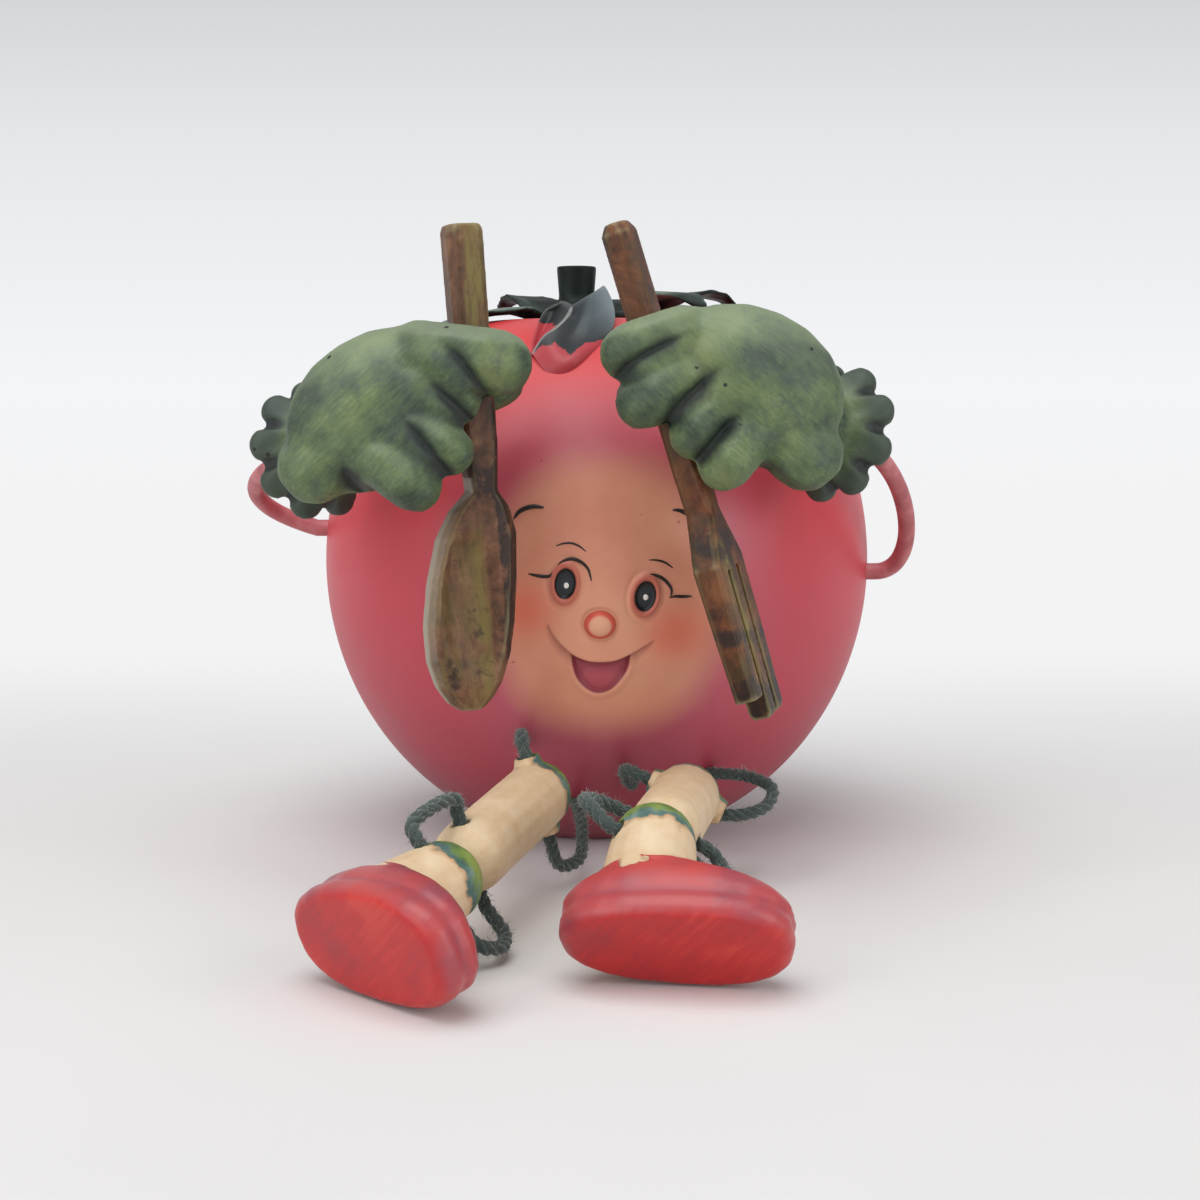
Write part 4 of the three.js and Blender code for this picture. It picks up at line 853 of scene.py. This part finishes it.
# Slate paint: a blue grey, darker towards its ragged lower edge and paler at the right, with bare red
# below it and a worn grey rim on the roll.
slate, tree, shader = new_material("slate_leaf_paint")
spot = node(tree, "TexCoord")
roll = node(tree, "Attribute", attribute_name="roll")
lip = node(tree, "Attribute", attribute_name="lip")
across = node(tree, "Math", [roll, LAST_COLUMN], operation="DIVIDE")
coat = node(tree, "ValToRGB", [across],
            [(0.0, "#5c5e5d"), (0.3, "#333739"), (0.42, "#272d30"), (0.62, "#31393d"), (0.8, "#515d61"),
             (1.0, "#727d82")])
deep = node(tree, "MapRange", [lip, 0.2, 2.2, 0.95, 0.0])
shaded = node(tree, "Mix", [deep, coat, "#14191b"], data_type="RGBA")
tear = node(tree, "TexNoise", {"Vector": spot, "Scale": every(2.2), "Detail": 4})
bite = node(tree, "Math", [tear, -0.5], operation="ADD")
ragged = node(tree, "Math", [bite, 0.9, lip], operation="MULTIPLY_ADD")
bare = node(tree, "MapRange", [ragged, 0.03, -0.03, 0.0, 1.0])
reddened = node(tree, "Mix", [bare, shaded, "#ab333c"], data_type="RGBA")
from_rim = node(tree, "Math", [roll, RIM_COLUMN], operation="SUBTRACT")
beside = node(tree, "Math", [from_rim], operation="ABSOLUTE")
pale = node(tree, "MapRange", [beside, 0.09, 0.03, 0.0, 0.65])
rimmed = node(tree, "Mix", [pale, reddened, "#8f928e"], data_type="RGBA")
neck = node(tree, "Attribute", attribute_name="neck")
necked = node(tree, "Mix", [neck, rimmed, "#121c18"], data_type="RGBA")
brush = node(tree, "Bump", {"Height": tear, "Strength": 0.2, "Distance": 0.0003})
fill(tree, shader, {"Base Color": necked, "Roughness": 0.45, "Normal": brush})
leaf.data.materials.append(slate)
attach(leaf, "body")

# Arms: a soft steel wire in a pink plastic sleeve, 3 mm thick, pushed into a bore at each end.
# The sleeve bows out from the tomato's side and turns in to the glove.
SLEEVE_RADIUS = 0.0015
BORE_STEPS, BOW_STEPS = 8, 40

# Vinyl: a dull, dusty pink that is clouded from handling.
vinyl, tree, shader = new_material("dull_pink_vinyl")
spot = node(tree, "TexCoord")
bloom = node(tree, "TexNoise", {"Vector": spot, "Scale": every(4.2), "Detail": 4})
pink = node(tree, "ValToRGB", [bloom], [(0.3, "#a3545a"), (0.5, "#b96468"), (0.7, "#c98484")])
dent = node(tree, "Bump", {"Height": bloom, "Strength": 0.2, "Distance": 0.0003})
fill(tree, shader, {"Base Color": pink, "Roughness": 0.5, "Normal": dent})

# Soft steel: a grey, half dull metal with drawing marks, drawn coarser than they are so that they show.
steel, tree, shader = new_material("drawn_soft_steel")
spot = node(tree, "TexCoord")
draw = node(tree, "TexNoise", {"Vector": spot, "Scale": every(1.1), "Detail": 2})
bright = node(tree, "ValToRGB", [draw], [(0.3, "#77756f"), (0.7, "#9a9892")])
fill(tree, shader, {"Base Color": bright, "Metallic": 1.0, "Roughness": 0.4})

ARM_ROUTES = {
    "left": ((-39.51, -7.0, 55.4), (-51.01, -7.0, 55.4), (-67.01, -8.0, 60.4), (-60.27, -23.12, 66.56),
             (-48.96, -38.07, 69.66), (-40.63, -49.08, 71.94)),
    "right": ((38.99, -10.0, 47.7), (50.49, -10.0, 47.7), (59.49, -10.0, 47.7), (54.58, -26.74, 68.27),
              (41.58, -41.35, 72.46), (32.48, -51.57, 75.39)),
}
bows = {}
for side, places in ARM_ROUTES.items():
    inner, leave, bow, swing, enter, end = metres(*places)
    route = [inner.lerp(leave, i / BORE_STEPS) for i in range(BORE_STEPS)]
    for i in range(BOW_STEPS + 1):
        t = i / BOW_STEPS
        route.append((1 - t) ** 3 * leave + 3 * t * (1 - t) ** 2 * bow
                     + 3 * t * t * (1 - t) * swing + t ** 3 * enter)
    route += [enter.lerp(end, i / BORE_STEPS) for i in range(1, BORE_STEPS + 1)]
    bows[side] = route
    sleeve = round_line(line_curve(f"{side}_sleeve", route), SLEEVE_RADIUS, 6)
    dress(sleeve, vinyl, f"{side}_arm_sleeve", f"{side}_arm")
    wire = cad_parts[f"{side}_arm_wire"]
    wire.data.materials.clear()
    wire.data.materials.append(steel)

# Sleeve split: the left sleeve has cracked along the outside of its bend, and the gap shows black.
# Its shade is painted on a thin dark sliver, let into the sleeve, that tapers to both ends: a dull near
# black, browner in places.
SPLIT_START, SPLIT_STEPS = 28, 8
SPLIT_SIDE = (-0.55, -0.75, 0.35)
SPLIT_DEPTH = 0.00144
SPLIT_RADIUS = 0.00022
split_shade, tree, shader = new_material("painted_shade_in_split")
spot = node(tree, "TexCoord")
shade_mottle = node(tree, "TexNoise", {"Vector": spot, "Scale": every(1.1), "Detail": 2})
# The painted shade in the split: near black, browner where the mottle is high.
soot = node(tree, "ValToRGB", [shade_mottle], [(0.35, "#120e0e"), (0.7, "#2b2020")])
fill(tree, shader, {"Base Color": soot, "Roughness": 0.8})
outside = Vector(SPLIT_SIDE).normalized() * SPLIT_DEPTH
bend = [place + outside for place in bows["left"][SPLIT_START:SPLIT_START + SPLIT_STEPS + 1]]
tapers = [0.15 + math.sin(math.pi * i / SPLIT_STEPS) for i in range(SPLIT_STEPS + 1)]
split = round_line(line_curve("left_sleeve_split", bend, tapers), SPLIT_RADIUS, 2)
split.data.materials.append(split_shade)
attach(split, "left_arm")

# Gloves: cast mittens with stubby fingers closed round the handles and a ruffled cuff behind.
# Each wrist has the centre of the cuff and the way the arm enters. The grooves between the fingers are
# drawn by x and z, in mm, and cut into the front.
WRISTS = {
    "left": ((-45.99, -42.0, 70.48), (0.5953, -0.7868, 0.163)),
    "right": ((38.33, -45.0, 73.5), (-0.65, -0.7305, 0.2094)),
}
GROOVES = {
    "left": [
        [(-23.2, 87.7), (-20.1, 84.9), (-17.8, 81.8), (-16.2, 79.6)],
        [(-25.2, 82.5), (-22.6, 79.6), (-19.7, 76.8), (-17.6, 75.1)],
        [(-29.1, 76.8), (-26.9, 74.2), (-24.3, 70.8), (-21.9, 67.8)],
        [(-37.8, 70.0), (-37.4, 67.8), (-36.2, 65.6), (-34.2, 63.6)],
    ],
    "right": [
        [(15.2, 89.3), (9.8, 86.9), (5.8, 84.7), (1.9, 81.0)],
        [(19.1, 83.8), (15.7, 81.3), (12.4, 78.2), (10.0, 75.2)],
        [(21.7, 77.1), (19.4, 74.9), (16.8, 71.8), (15.6, 70.2)],
    ],
}
GROOVE_DEPTH = 2.3
GROOVE_WIDTH, GROOVE_SHADE_WIDTH = 1.5, 2.6
FINGER_FRONT = -58
RUFFLES = 9
RIM_REACH, RIM_WIDTH = 0.0112, 0.003
RUFFLE_REACH = 0.0086
RUFFLE_SIZE = (0.0031, 0.0031, 0.0024)
RUFFLE_DRAWN_IN = 0.0014
FOLD_DEPTH = 0.0003
HOLLOW_PASSES = 120
CUFF_START, CUFF_FULL = 5.0, 2.5
TOP_LIGHT_SHARE = 0.5


def ruffle_phase(side, turn, centre):
    """Finds where the first wave of the cuff's rim lies round the wrist."""
    waves = Vector((0, 0))
    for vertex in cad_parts[f"{side}_glove"].data.vertices:
        place = turn.inverted() @ (vertex.co - centre)
        if place.xy.length > RIM_REACH and abs(place.z) < RIM_WIDTH:
            bearing = RUFFLES * math.atan2(place.y, place.x)
            waves += Vector((math.cos(bearing), math.sin(bearing)))
    return math.atan2(waves.y, waves.x) / RUFFLES


# Sage paint: dry-brushed in slanting strokes over dark grey, so it is broken and matt, yellower in places,
# lightened on top as painted light, darker on the cuffs, dark in the hollows, grooves and cuff folds as
# painted shade, and pitted by small black bubbles.
glove_paint, tree, shader = new_material("dry_brushed_sage_paint")
spot = node(tree, "TexCoord")
hollow = node(tree, "Attribute", attribute_name="hollow")
cuff = node(tree, "Attribute", attribute_name="cuff")
groove = node(tree, "Attribute", attribute_name="groove")
mottle = node(tree, "TexNoise", {"Vector": spot, "Scale": every(9.1), "Detail": 5, "Roughness": 0.55})
place = node(tree, "SeparateXYZ", [spot])
outward = node(tree, "Math", [place.outputs["X"]], operation="ABSOLUTE")
paired = node(tree, "CombineXYZ", {"X": outward, "Y": place.outputs["Y"], "Z": place.outputs["Z"]})
turned = node(tree, "Mapping", {"Vector": paired, "Rotation": (0, 0.75, 0), "Scale": (3.2, 1, 0.55)},
              vector_type="TEXTURE")
bristle = node(tree, "TexNoise",
               {"Vector": turned, "Scale": every(0.8), "Detail": 5, "Roughness": 0.7, "Distortion": 0.4})
blend = node(tree, "Math", [bristle, 0.45, mottle], operation="MULTIPLY_ADD")
sage = node(tree, "ValToRGB", [blend],
            [(0.54, "#313e35"), (0.67, "#485a40"), (0.8, "#5d7049"), (0.88, "#6e7c54")])
yellow = node(tree, "TexNoise", {"Vector": spot, "Scale": every(18.2), "Detail": 2})
lime_share = node(tree, "MapRange", [yellow, 0.5, 0.75, 0.0, 0.5])
limed = node(tree, "Mix", [lime_share, sage, "#667039"], data_type="RGBA")
smudge = node(tree, "TexNoise", {"Vector": spot, "Scale": every(5.3), "Detail": 6, "Roughness": 0.7})
soiled = node(tree, "MapRange", [smudge, 0.56, 0.66, 0.0, 0.55])
smudged = node(tree, "Mix", [soiled, limed, "#3b4746"], data_type="RGBA")
cuff_share = node(tree, "Math", [cuff, 0.85], operation="MULTIPLY")
# Painted light: faces that turn upwards are lightened, as if lit from above.
top_light = node(tree, "Attribute", attribute_name="up")
top_lit = node(tree, "Mix", [top_light, smudged, "#8b987c"], data_type="RGBA")
cuffed = node(tree, "Mix", [cuff_share, top_lit, "#2f3b35"], data_type="RGBA")
# Painted shade: hollows, grooves and cuff folds are darkened, broken up by the smudges.
deep = node(tree, "Math", [hollow, 0.55, groove], operation="MULTIPLY_ADD")
uneven = node(tree, "Math", [smudge, 1.1, deep], operation="MULTIPLY_ADD")
low = node(tree, "MapRange", [uneven, 0.75, 1.45, 0.0, 0.92])
shaded_in_hollows = node(tree, "Mix", [low, cuffed, "#1f2726"], data_type="RGBA")
pores = node(tree, "TexVoronoi", {"Vector": spot, "Scale": every(4.8)})
pit = node(tree, "MapRange", [pores, 0.09, 0.07, 0.0, 1.0])
rare = node(tree, "TexNoise", {"Vector": spot, "Scale": every(7.1), "Detail": 0})
few = node(tree, "Math", [rare, 0.5], operation="GREATER_THAN")
bubble = node(tree, "Math", [pit, few], operation="MULTIPLY")
bubbled = node(tree, "Mix", [bubble, shaded_in_hollows, "#141a18"], data_type="RGBA")
relief = node(tree, "Math", [bubble, -1.2, bristle], operation="MULTIPLY_ADD")
strokes = node(tree, "Bump", {"Height": relief, "Strength": 0.25, "Distance": 0.0003})
fill(tree, shader, {"Base Color": bubbled, "Roughness": 0.55, "Normal": strokes})

for side in ("left", "right"):
    centre, axis = metres(*WRISTS[side])
    turn = axis.to_track_quat("Z", "X")
    phase = ruffle_phase(side, turn, centre)
    inward = (turn.inverted() @ Vector((-centre.x, -centre.y, 0))).normalized()
    lobes = []
    for i in range(RUFFLES):
        bearing = phase + 2 * math.pi * i / RUFFLES
        rim = Vector((math.cos(bearing), math.sin(bearing), 0))
        reach = RUFFLE_REACH - RUFFLE_DRAWN_IN * smooth_step(rim.dot(inward), 0.5, 0.9)
        lobes.append((centre + turn @ (reach * rim), turn.to_euler(), RUFFLE_SIZE))
    glove = cast_copy(f"{side}_glove", f"{side}_mitten", voxel=0.0004, rubs=34, lobes=lobes)
    lines = [drawn(points) for points in GROOVES[side]]
    ways = [vertex.normal.copy() for vertex in glove.data.vertices]
    grooves, cuffs = [], []
    for vertex, way in zip(glove.data.vertices, ways):
        x, y, z = 1000 * vertex.co
        local = 1000 * (turn.inverted() @ (vertex.co - centre))
        cuff_share = smooth_step(local.z, CUFF_START, CUFF_FULL)
        front = smooth_step(-way.y, -0.2, 0.5) if y < FINGER_FRONT else 0.0
        # Painted shade along the grooves between the fingers, and in the cuff folds below.
        cut = groove_shade = 0.0
        for line in lines if front else ():
            gap, _, share = nearest(line, x, z)
            held = front * smooth_step(share, -0.15, 0.45)
            cut = max(cut, held * math.exp(-gap / GROOVE_WIDTH))
            groove_shade = max(groove_shade, held * math.exp(-gap / GROOVE_SHADE_WIDTH))
        if cuff_share:
            swing = math.sin(0.5 * RUFFLES * (math.atan2(local.y, local.x) - phase))
            fold = cuff_share * smooth_step(abs(swing), 0.8, 1.0) * smooth_step(local.xy.length, 4.5, 7.0)
            vertex.co -= FOLD_DEPTH * fold * way
            groove_shade = max(groove_shade, 1.1 * fold)
        vertex.co.y += 0.001 * GROOVE_DEPTH * cut
        grooves.append(groove_shade)
        cuffs.append(cuff_share)
    # Painted light: the share of top light grows as a face turns up.
    top_light_shares = [TOP_LIGHT_SHARE * smooth_step(way.z, 0.1, 0.95) for way in ways]
    for name, values in (("groove", grooves), ("cuff", cuffs), ("up", top_light_shares)):
        store(glove, name, values)
    mark_hollows(glove, HOLLOW_PASSES)
    dress(glove, glove_paint, f"{side}_glove", f"{side}_hand")

# Spoon and fork: cast to look like carved wood, with knife facets, and painted in broken browns.
# The spoon is ochre and olive over umber, the fork a redder brown, both sooty at the neck.
# A zone function gives the shares of olive and of soot, by x and z in mm. A band of soot has its height,
# its spread and its strength.
BOWL_TOP = 0.067
RIM_HIGHLIGHT = 0.8
LEAST_OLIVE = 0.1
SPOON_GRIP = 84
SPOON_SOOT = ((67, 4.5, 1.0), (33, 3.5, 0.5))
FORK_SOOT = ((57, 3.5, 1.0), (43, 2.0, 0.8))


def soot_bands(bands, z):
    return sum(strength * bell((z - height) / spread) for height, spread, strength in bands)


def spoon_zones(x, z):
    beside = x + 0.07 * z + 13.2
    if z > SPOON_GRIP:
        return smooth_step(beside, -0.3, 0.3), 0.0
    olive = smooth_step(beside, 0.5, -0.1) * smooth_step(z, 62, 54) * (0.4 + 0.4 * bell((beside + 1.0) / 1.2))
    # Past the middle of the bowl, to the right, the spoon is darkened as well, through the same share.
    return olive, soot_bands(SPOON_SOOT, z) + 0.7 * smooth_step(beside, 2.0, 2.6)


def fork_zones(x, z):
    beside = x - 11.2 + 0.306 * (z - 78.8)
    olive = bell((beside - 1.3) / 0.8) * smooth_step(z, 60, 54)
    return olive, soot_bands(FORK_SOOT, z) + 0.9 * smooth_step(z, 40, 33)


def carved_wood(name, lean, base, streak):
    """Carved look: satin browns in long blotches, with olive streaks, soot, black cuts partly painted shade,
    edges pale partly from wear and partly as painted highlight, and a painted highlight on the rim.
    """
    material, tree, shader = new_material(name)
    spot = node(tree, "TexCoord")
    hollow = node(tree, "Attribute", attribute_name="hollow")
    olive = node(tree, "Attribute", attribute_name="olive")
    burnt = node(tree, "Attribute", attribute_name="soot")
    drawn_out = node(tree, "Mapping", {"Vector": spot, "Rotation": (0, lean, 0), "Scale": (1, 1, 3.3)},
                     vector_type="TEXTURE")
    grain = node(tree, "TexNoise",
                 {"Vector": drawn_out, "Scale": every(2.1), "Detail": 6, "Roughness": 0.7, "Distortion": 0.6})
    blotch = node(tree, "TexNoise",
                  {"Vector": spot, "Scale": every(5.3), "Detail": 6, "Roughness": 0.65, "Distortion": 0.8})
    mixed = node(tree, "Math", [grain, 0.5, blotch], operation="MULTIPLY_ADD")
    brown = node(tree, "ValToRGB", [mixed], base)
    moss = node(tree, "TexNoise",
                {"Vector": drawn_out, "Scale": every(4.2), "Detail": 6, "Roughness": 0.7, "Distortion": 1.0})
    broken = node(tree, "MapRange", [moss, 0.4, 0.56, 0.15, 0.95])
    moss_share = node(tree, "Math", [broken, olive], operation="MULTIPLY")
    mossy = node(tree, "Mix", [moss_share, brown, streak], data_type="RGBA")
    smoke = node(tree, "TexNoise", {"Vector": spot, "Scale": every(5.9), "Detail": 5, "Roughness": 0.7})
    charred = node(tree, "Math", [burnt, 0.22, smoke], operation="MULTIPLY_ADD")
    soot_share = node(tree, "MapRange", [charred, 0.59, 0.7, 0.0, 0.85])
    sooty = node(tree, "Mix", [soot_share, mossy, "#1f1918"], data_type="RGBA")
    # Pale edges: partly wear, partly a painted highlight.
    edge = node(tree, "MapRange", [hollow, -0.08, -0.24, 0.0, 0.7])
    edged = node(tree, "Mix", [edge, sooty, "#968b66"], data_type="RGBA")
    # Black in the cuts and slits: a dark wash and painted shade.
    low = node(tree, "MapRange", [hollow, 0.03, 0.14, 0.0, 0.95])
    cuts_blackened_and_shaded = node(tree, "Mix", [low, edged, "#0f0c0b"], data_type="RGBA")
    # Painted highlight along the left rim of the spoon's bowl.
    rim = node(tree, "Attribute", attribute_name="rim")
    rimmed = node(tree, "Mix", [rim, cuts_blackened_and_shaded, "#a39b8b"], data_type="RGBA")
    cut = node(tree, "Bump", {"Height": mixed, "Strength": 0.3, "Distance": 0.0003})
    fill(tree, shader, {"Base Color": rimmed, "Roughness": 0.45, "Specular IOR Level": 0.3, "Normal": cut})
    return material


umber = carved_wood("umber_carved_look", math.radians(-4),
                    [(0.5, "#2b1b17"), (0.65, "#4b2e22"), (0.78, "#643f2e"), (0.92, "#7f5a44")], "#756738")
russet = carved_wood("russet_carved_look", math.radians(-17),
                     [(0.5, "#1f110e"), (0.65, "#3e2016"), (0.78, "#5a2d1c"), (0.92, "#734126")], "#8a7c3f")
for name, material, zones, body in (("spoon", umber, spoon_zones, "left_hand"),
                                    ("fork", russet, fork_zones, "right_hand")):
    piece = cast_copy(name, f"carved_{name}", voxel=0.00027, rubs=5, marks=12)
    shares = [zones(*(1000 * vertex.co.xz)) for vertex in piece.data.vertices]
    store(piece, "olive", [LEAST_OLIVE + (1 - LEAST_OLIVE) * olive for olive, _ in shares])
    store(piece, "soot", [soot for _, soot in shares])
    if name == "spoon":
        # Painted highlight: the left-facing rim on the front of the spoon's bowl turns pale.
        rim_highlights = []
        for vertex in piece.data.vertices:
            on_bowl = vertex.co.z < BOWL_TOP and vertex.normal.y < 0.1
            rim_highlights.append(RIM_HIGHLIGHT * smooth_step(-vertex.normal.x, 0.3, 0.6) if on_bowl else 0.0)
        store(piece, "rim", rim_highlights)
    dress(piece, material, name, body)

# Legs: cast tubes with domed ends, drilled across for the cord, in bare buff resin.
# The domed ends are daubed green, with a ragged edge where the brush ran out. Each line goes from the
# upper cross hole to the lower one or the shoe. A daub has its stretch and how far back it starts.
LEG_LINES = {
    "left_thigh": ((-9.4, -56.0, 16.3), (-18.1, -84.6, 13.5), "left_upper_leg"),
    "right_thigh": ((14.6, -51.0, 15.0), (9.9, -80.6, 16.5), "right_upper_leg"),
    "left_shin": ((-21.5, -95.8, 12.5), (-33.5, -108.3, 7.5), "left_lower_leg"),
    "right_shin": ((8.1, -92.2, 17.1), (6.0, -106.6, 6.4), "right_lower_leg"),
}
SHIN_DAUB = (0.62, 0.006)
THIGH_DAUB = (0.7, 0.0040)

# Bare resin: a matt cream with tan stains, brown in the hollows, partly a dark wash and partly painted shade.
# The daub is green at the tip, slate at its torn edge, and has a thin brown line round it.
buff, tree, shader = new_material("buff_cast_resin")
spot = node(tree, "TexCoord")
hollow = node(tree, "Attribute", attribute_name="hollow")
tip = node(tree, "Attribute", attribute_name="tip")
stain = node(tree, "TexNoise", {"Vector": spot, "Scale": every(4.3), "Detail": 6, "Roughness": 0.6})
cream = node(tree, "ValToRGB", [stain],
             [(0.26, "#c6a781"), (0.42, "#d0b48f"), (0.6, "#d6be9d"), (0.8, "#dbc8ac")])
# Brown in the hollows: partly a dark wash, partly painted shade.
low = node(tree, "MapRange", [hollow, 0.03, 0.3, 0.0, 0.7])
grubby_and_shaded = node(tree, "Mix", [low, cream, "#8d6338"], data_type="RGBA")
tear = node(tree, "TexNoise", {"Vector": spot, "Scale": every(3.3), "Detail": 3})
torn = node(tree, "Math", [tear, 3.2, tip], operation="MULTIPLY_ADD")
daubed = node(tree, "MapRange", [torn, 5.3, 5.05, 0.0, 1.0])
crack = node(tree, "MapRange", [torn, 5.75, 5.3, 0.0, 0.55])
edged = node(tree, "Mix", [crack, grubby_and_shaded, "#9c6d3f"], data_type="RGBA")
slaty = node(tree, "ValToRGB", [stain], [(0.35, "#33504c"), (0.5, "#4f6d66"), (0.68, "#7b938a")])
leafy_green = node(tree, "ValToRGB", [stain], [(0.32, "#43603a"), (0.48, "#627c3a"), (0.62, "#83954a")])
outer = node(tree, "MapRange", [torn, 4.7, 4.2, 0.0, 1.0])
daub = node(tree, "Mix", [outer, slaty, leafy_green], data_type="RGBA")
ended = node(tree, "Mix", [daubed, edged, daub], data_type="RGBA")
chip = node(tree, "Bump", {"Height": tear, "Strength": 0.2, "Distance": 0.0003})
fill(tree, shader, {"Base Color": ended, "Roughness": 0.6, "Normal": chip})
for name, (start, end, body) in LEG_LINES.items():
    limb = cast_copy(name, f"{name}_cast", voxel=0.0003, rubs=8, marks=14)
    stretch, set_back = SHIN_DAUB if "shin" in name else THIGH_DAUB
    start, end = metres(start, end)
    way = (end - start).normalized()
    runs = [(vertex.co - start).dot(way) for vertex in limb.data.vertices]
    store(limb, "tip", [1000 * stretch * (run + set_back) for run in runs])
    dress(limb, buff, name, body)

# Shoes: cast with a flat sole, a welt groove and a round upper, in glossy red brushed on in streaks.
# The sole is the strongest red, rubbed in slanting lines, and the upper is a duller, mauve red.
# Each sole has the way it faces.
SOLES = {"left": (-0.663, -0.696, -0.275), "right": (-0.115, -0.797, -0.593)}

# Enamel: a glossy scarlet with slanting brush streaks on the sole, a clouded duller red on the upper and
# painted shade that draws a dark line in the welt.
enamel, tree, shader = new_material("streaky_red_enamel")
spot = node(tree, "TexCoord")
hollow = node(tree, "Attribute", attribute_name="hollow")
sole = node(tree, "Attribute", attribute_name="sole")
slanted = node(tree, "Mapping", {"Vector": spot, "Rotation": (0, 0.65, 0), "Scale": (0.16, 1, 2.2)},
               vector_type="TEXTURE")
streaks = node(tree, "TexNoise", {"Vector": slanted, "Scale": every(5.0), "Detail": 5})
cloud = node(tree, "TexNoise", {"Vector": spot, "Scale": every(11), "Detail": 4})
mixed = node(tree, "Math", [streaks, 0.5, cloud], operation="MULTIPLY_ADD")
scarlet = node(tree, "ValToRGB", [mixed],
               [(0.5, "#9c2028"), (0.68, "#b02024"), (0.8, "#ba2222"), (0.95, "#c6362e")])
dull = node(tree, "ValToRGB", [cloud], [(0.34, "#8c4450"), (0.5, "#ab4347"), (0.66, "#bb4341")])
faced = node(tree, "Math", [cloud, 0.5, sole], operation="MULTIPLY_ADD")
sole_share = node(tree, "MapRange", [faced, 0.75, 1.25, 0.0, 1.0], interpolation_type="SMOOTHSTEP")
soled = node(tree, "Mix", [sole_share, dull, scarlet], data_type="RGBA")
# Painted shade: the welt and other hollows are darkened to a mauve red.
low = node(tree, "MapRange", [hollow, 0.01, 0.16, 0.0, 0.75])
welt_shaded = node(tree, "Mix", [low, soled, "#82384a"], data_type="RGBA")
brushed = node(tree, "Bump", {"Height": streaks, "Strength": 0.2, "Distance": 0.0003})
fill(tree, shader, {"Base Color": welt_shaded, "Roughness": 0.38, "Normal": brushed})
for side, facing in SOLES.items():
    shoe = cast_copy(f"{side}_shoe", f"{side}_red_shoe", voxel=0.0004, rubs=18, marks=16)
    store(shoe, "sole", [vertex.normal.dot(Vector(facing)) for vertex in shoe.data.vertices])
    dress(shoe, enamel, f"{side}_shoe", f"{side}_lower_leg")
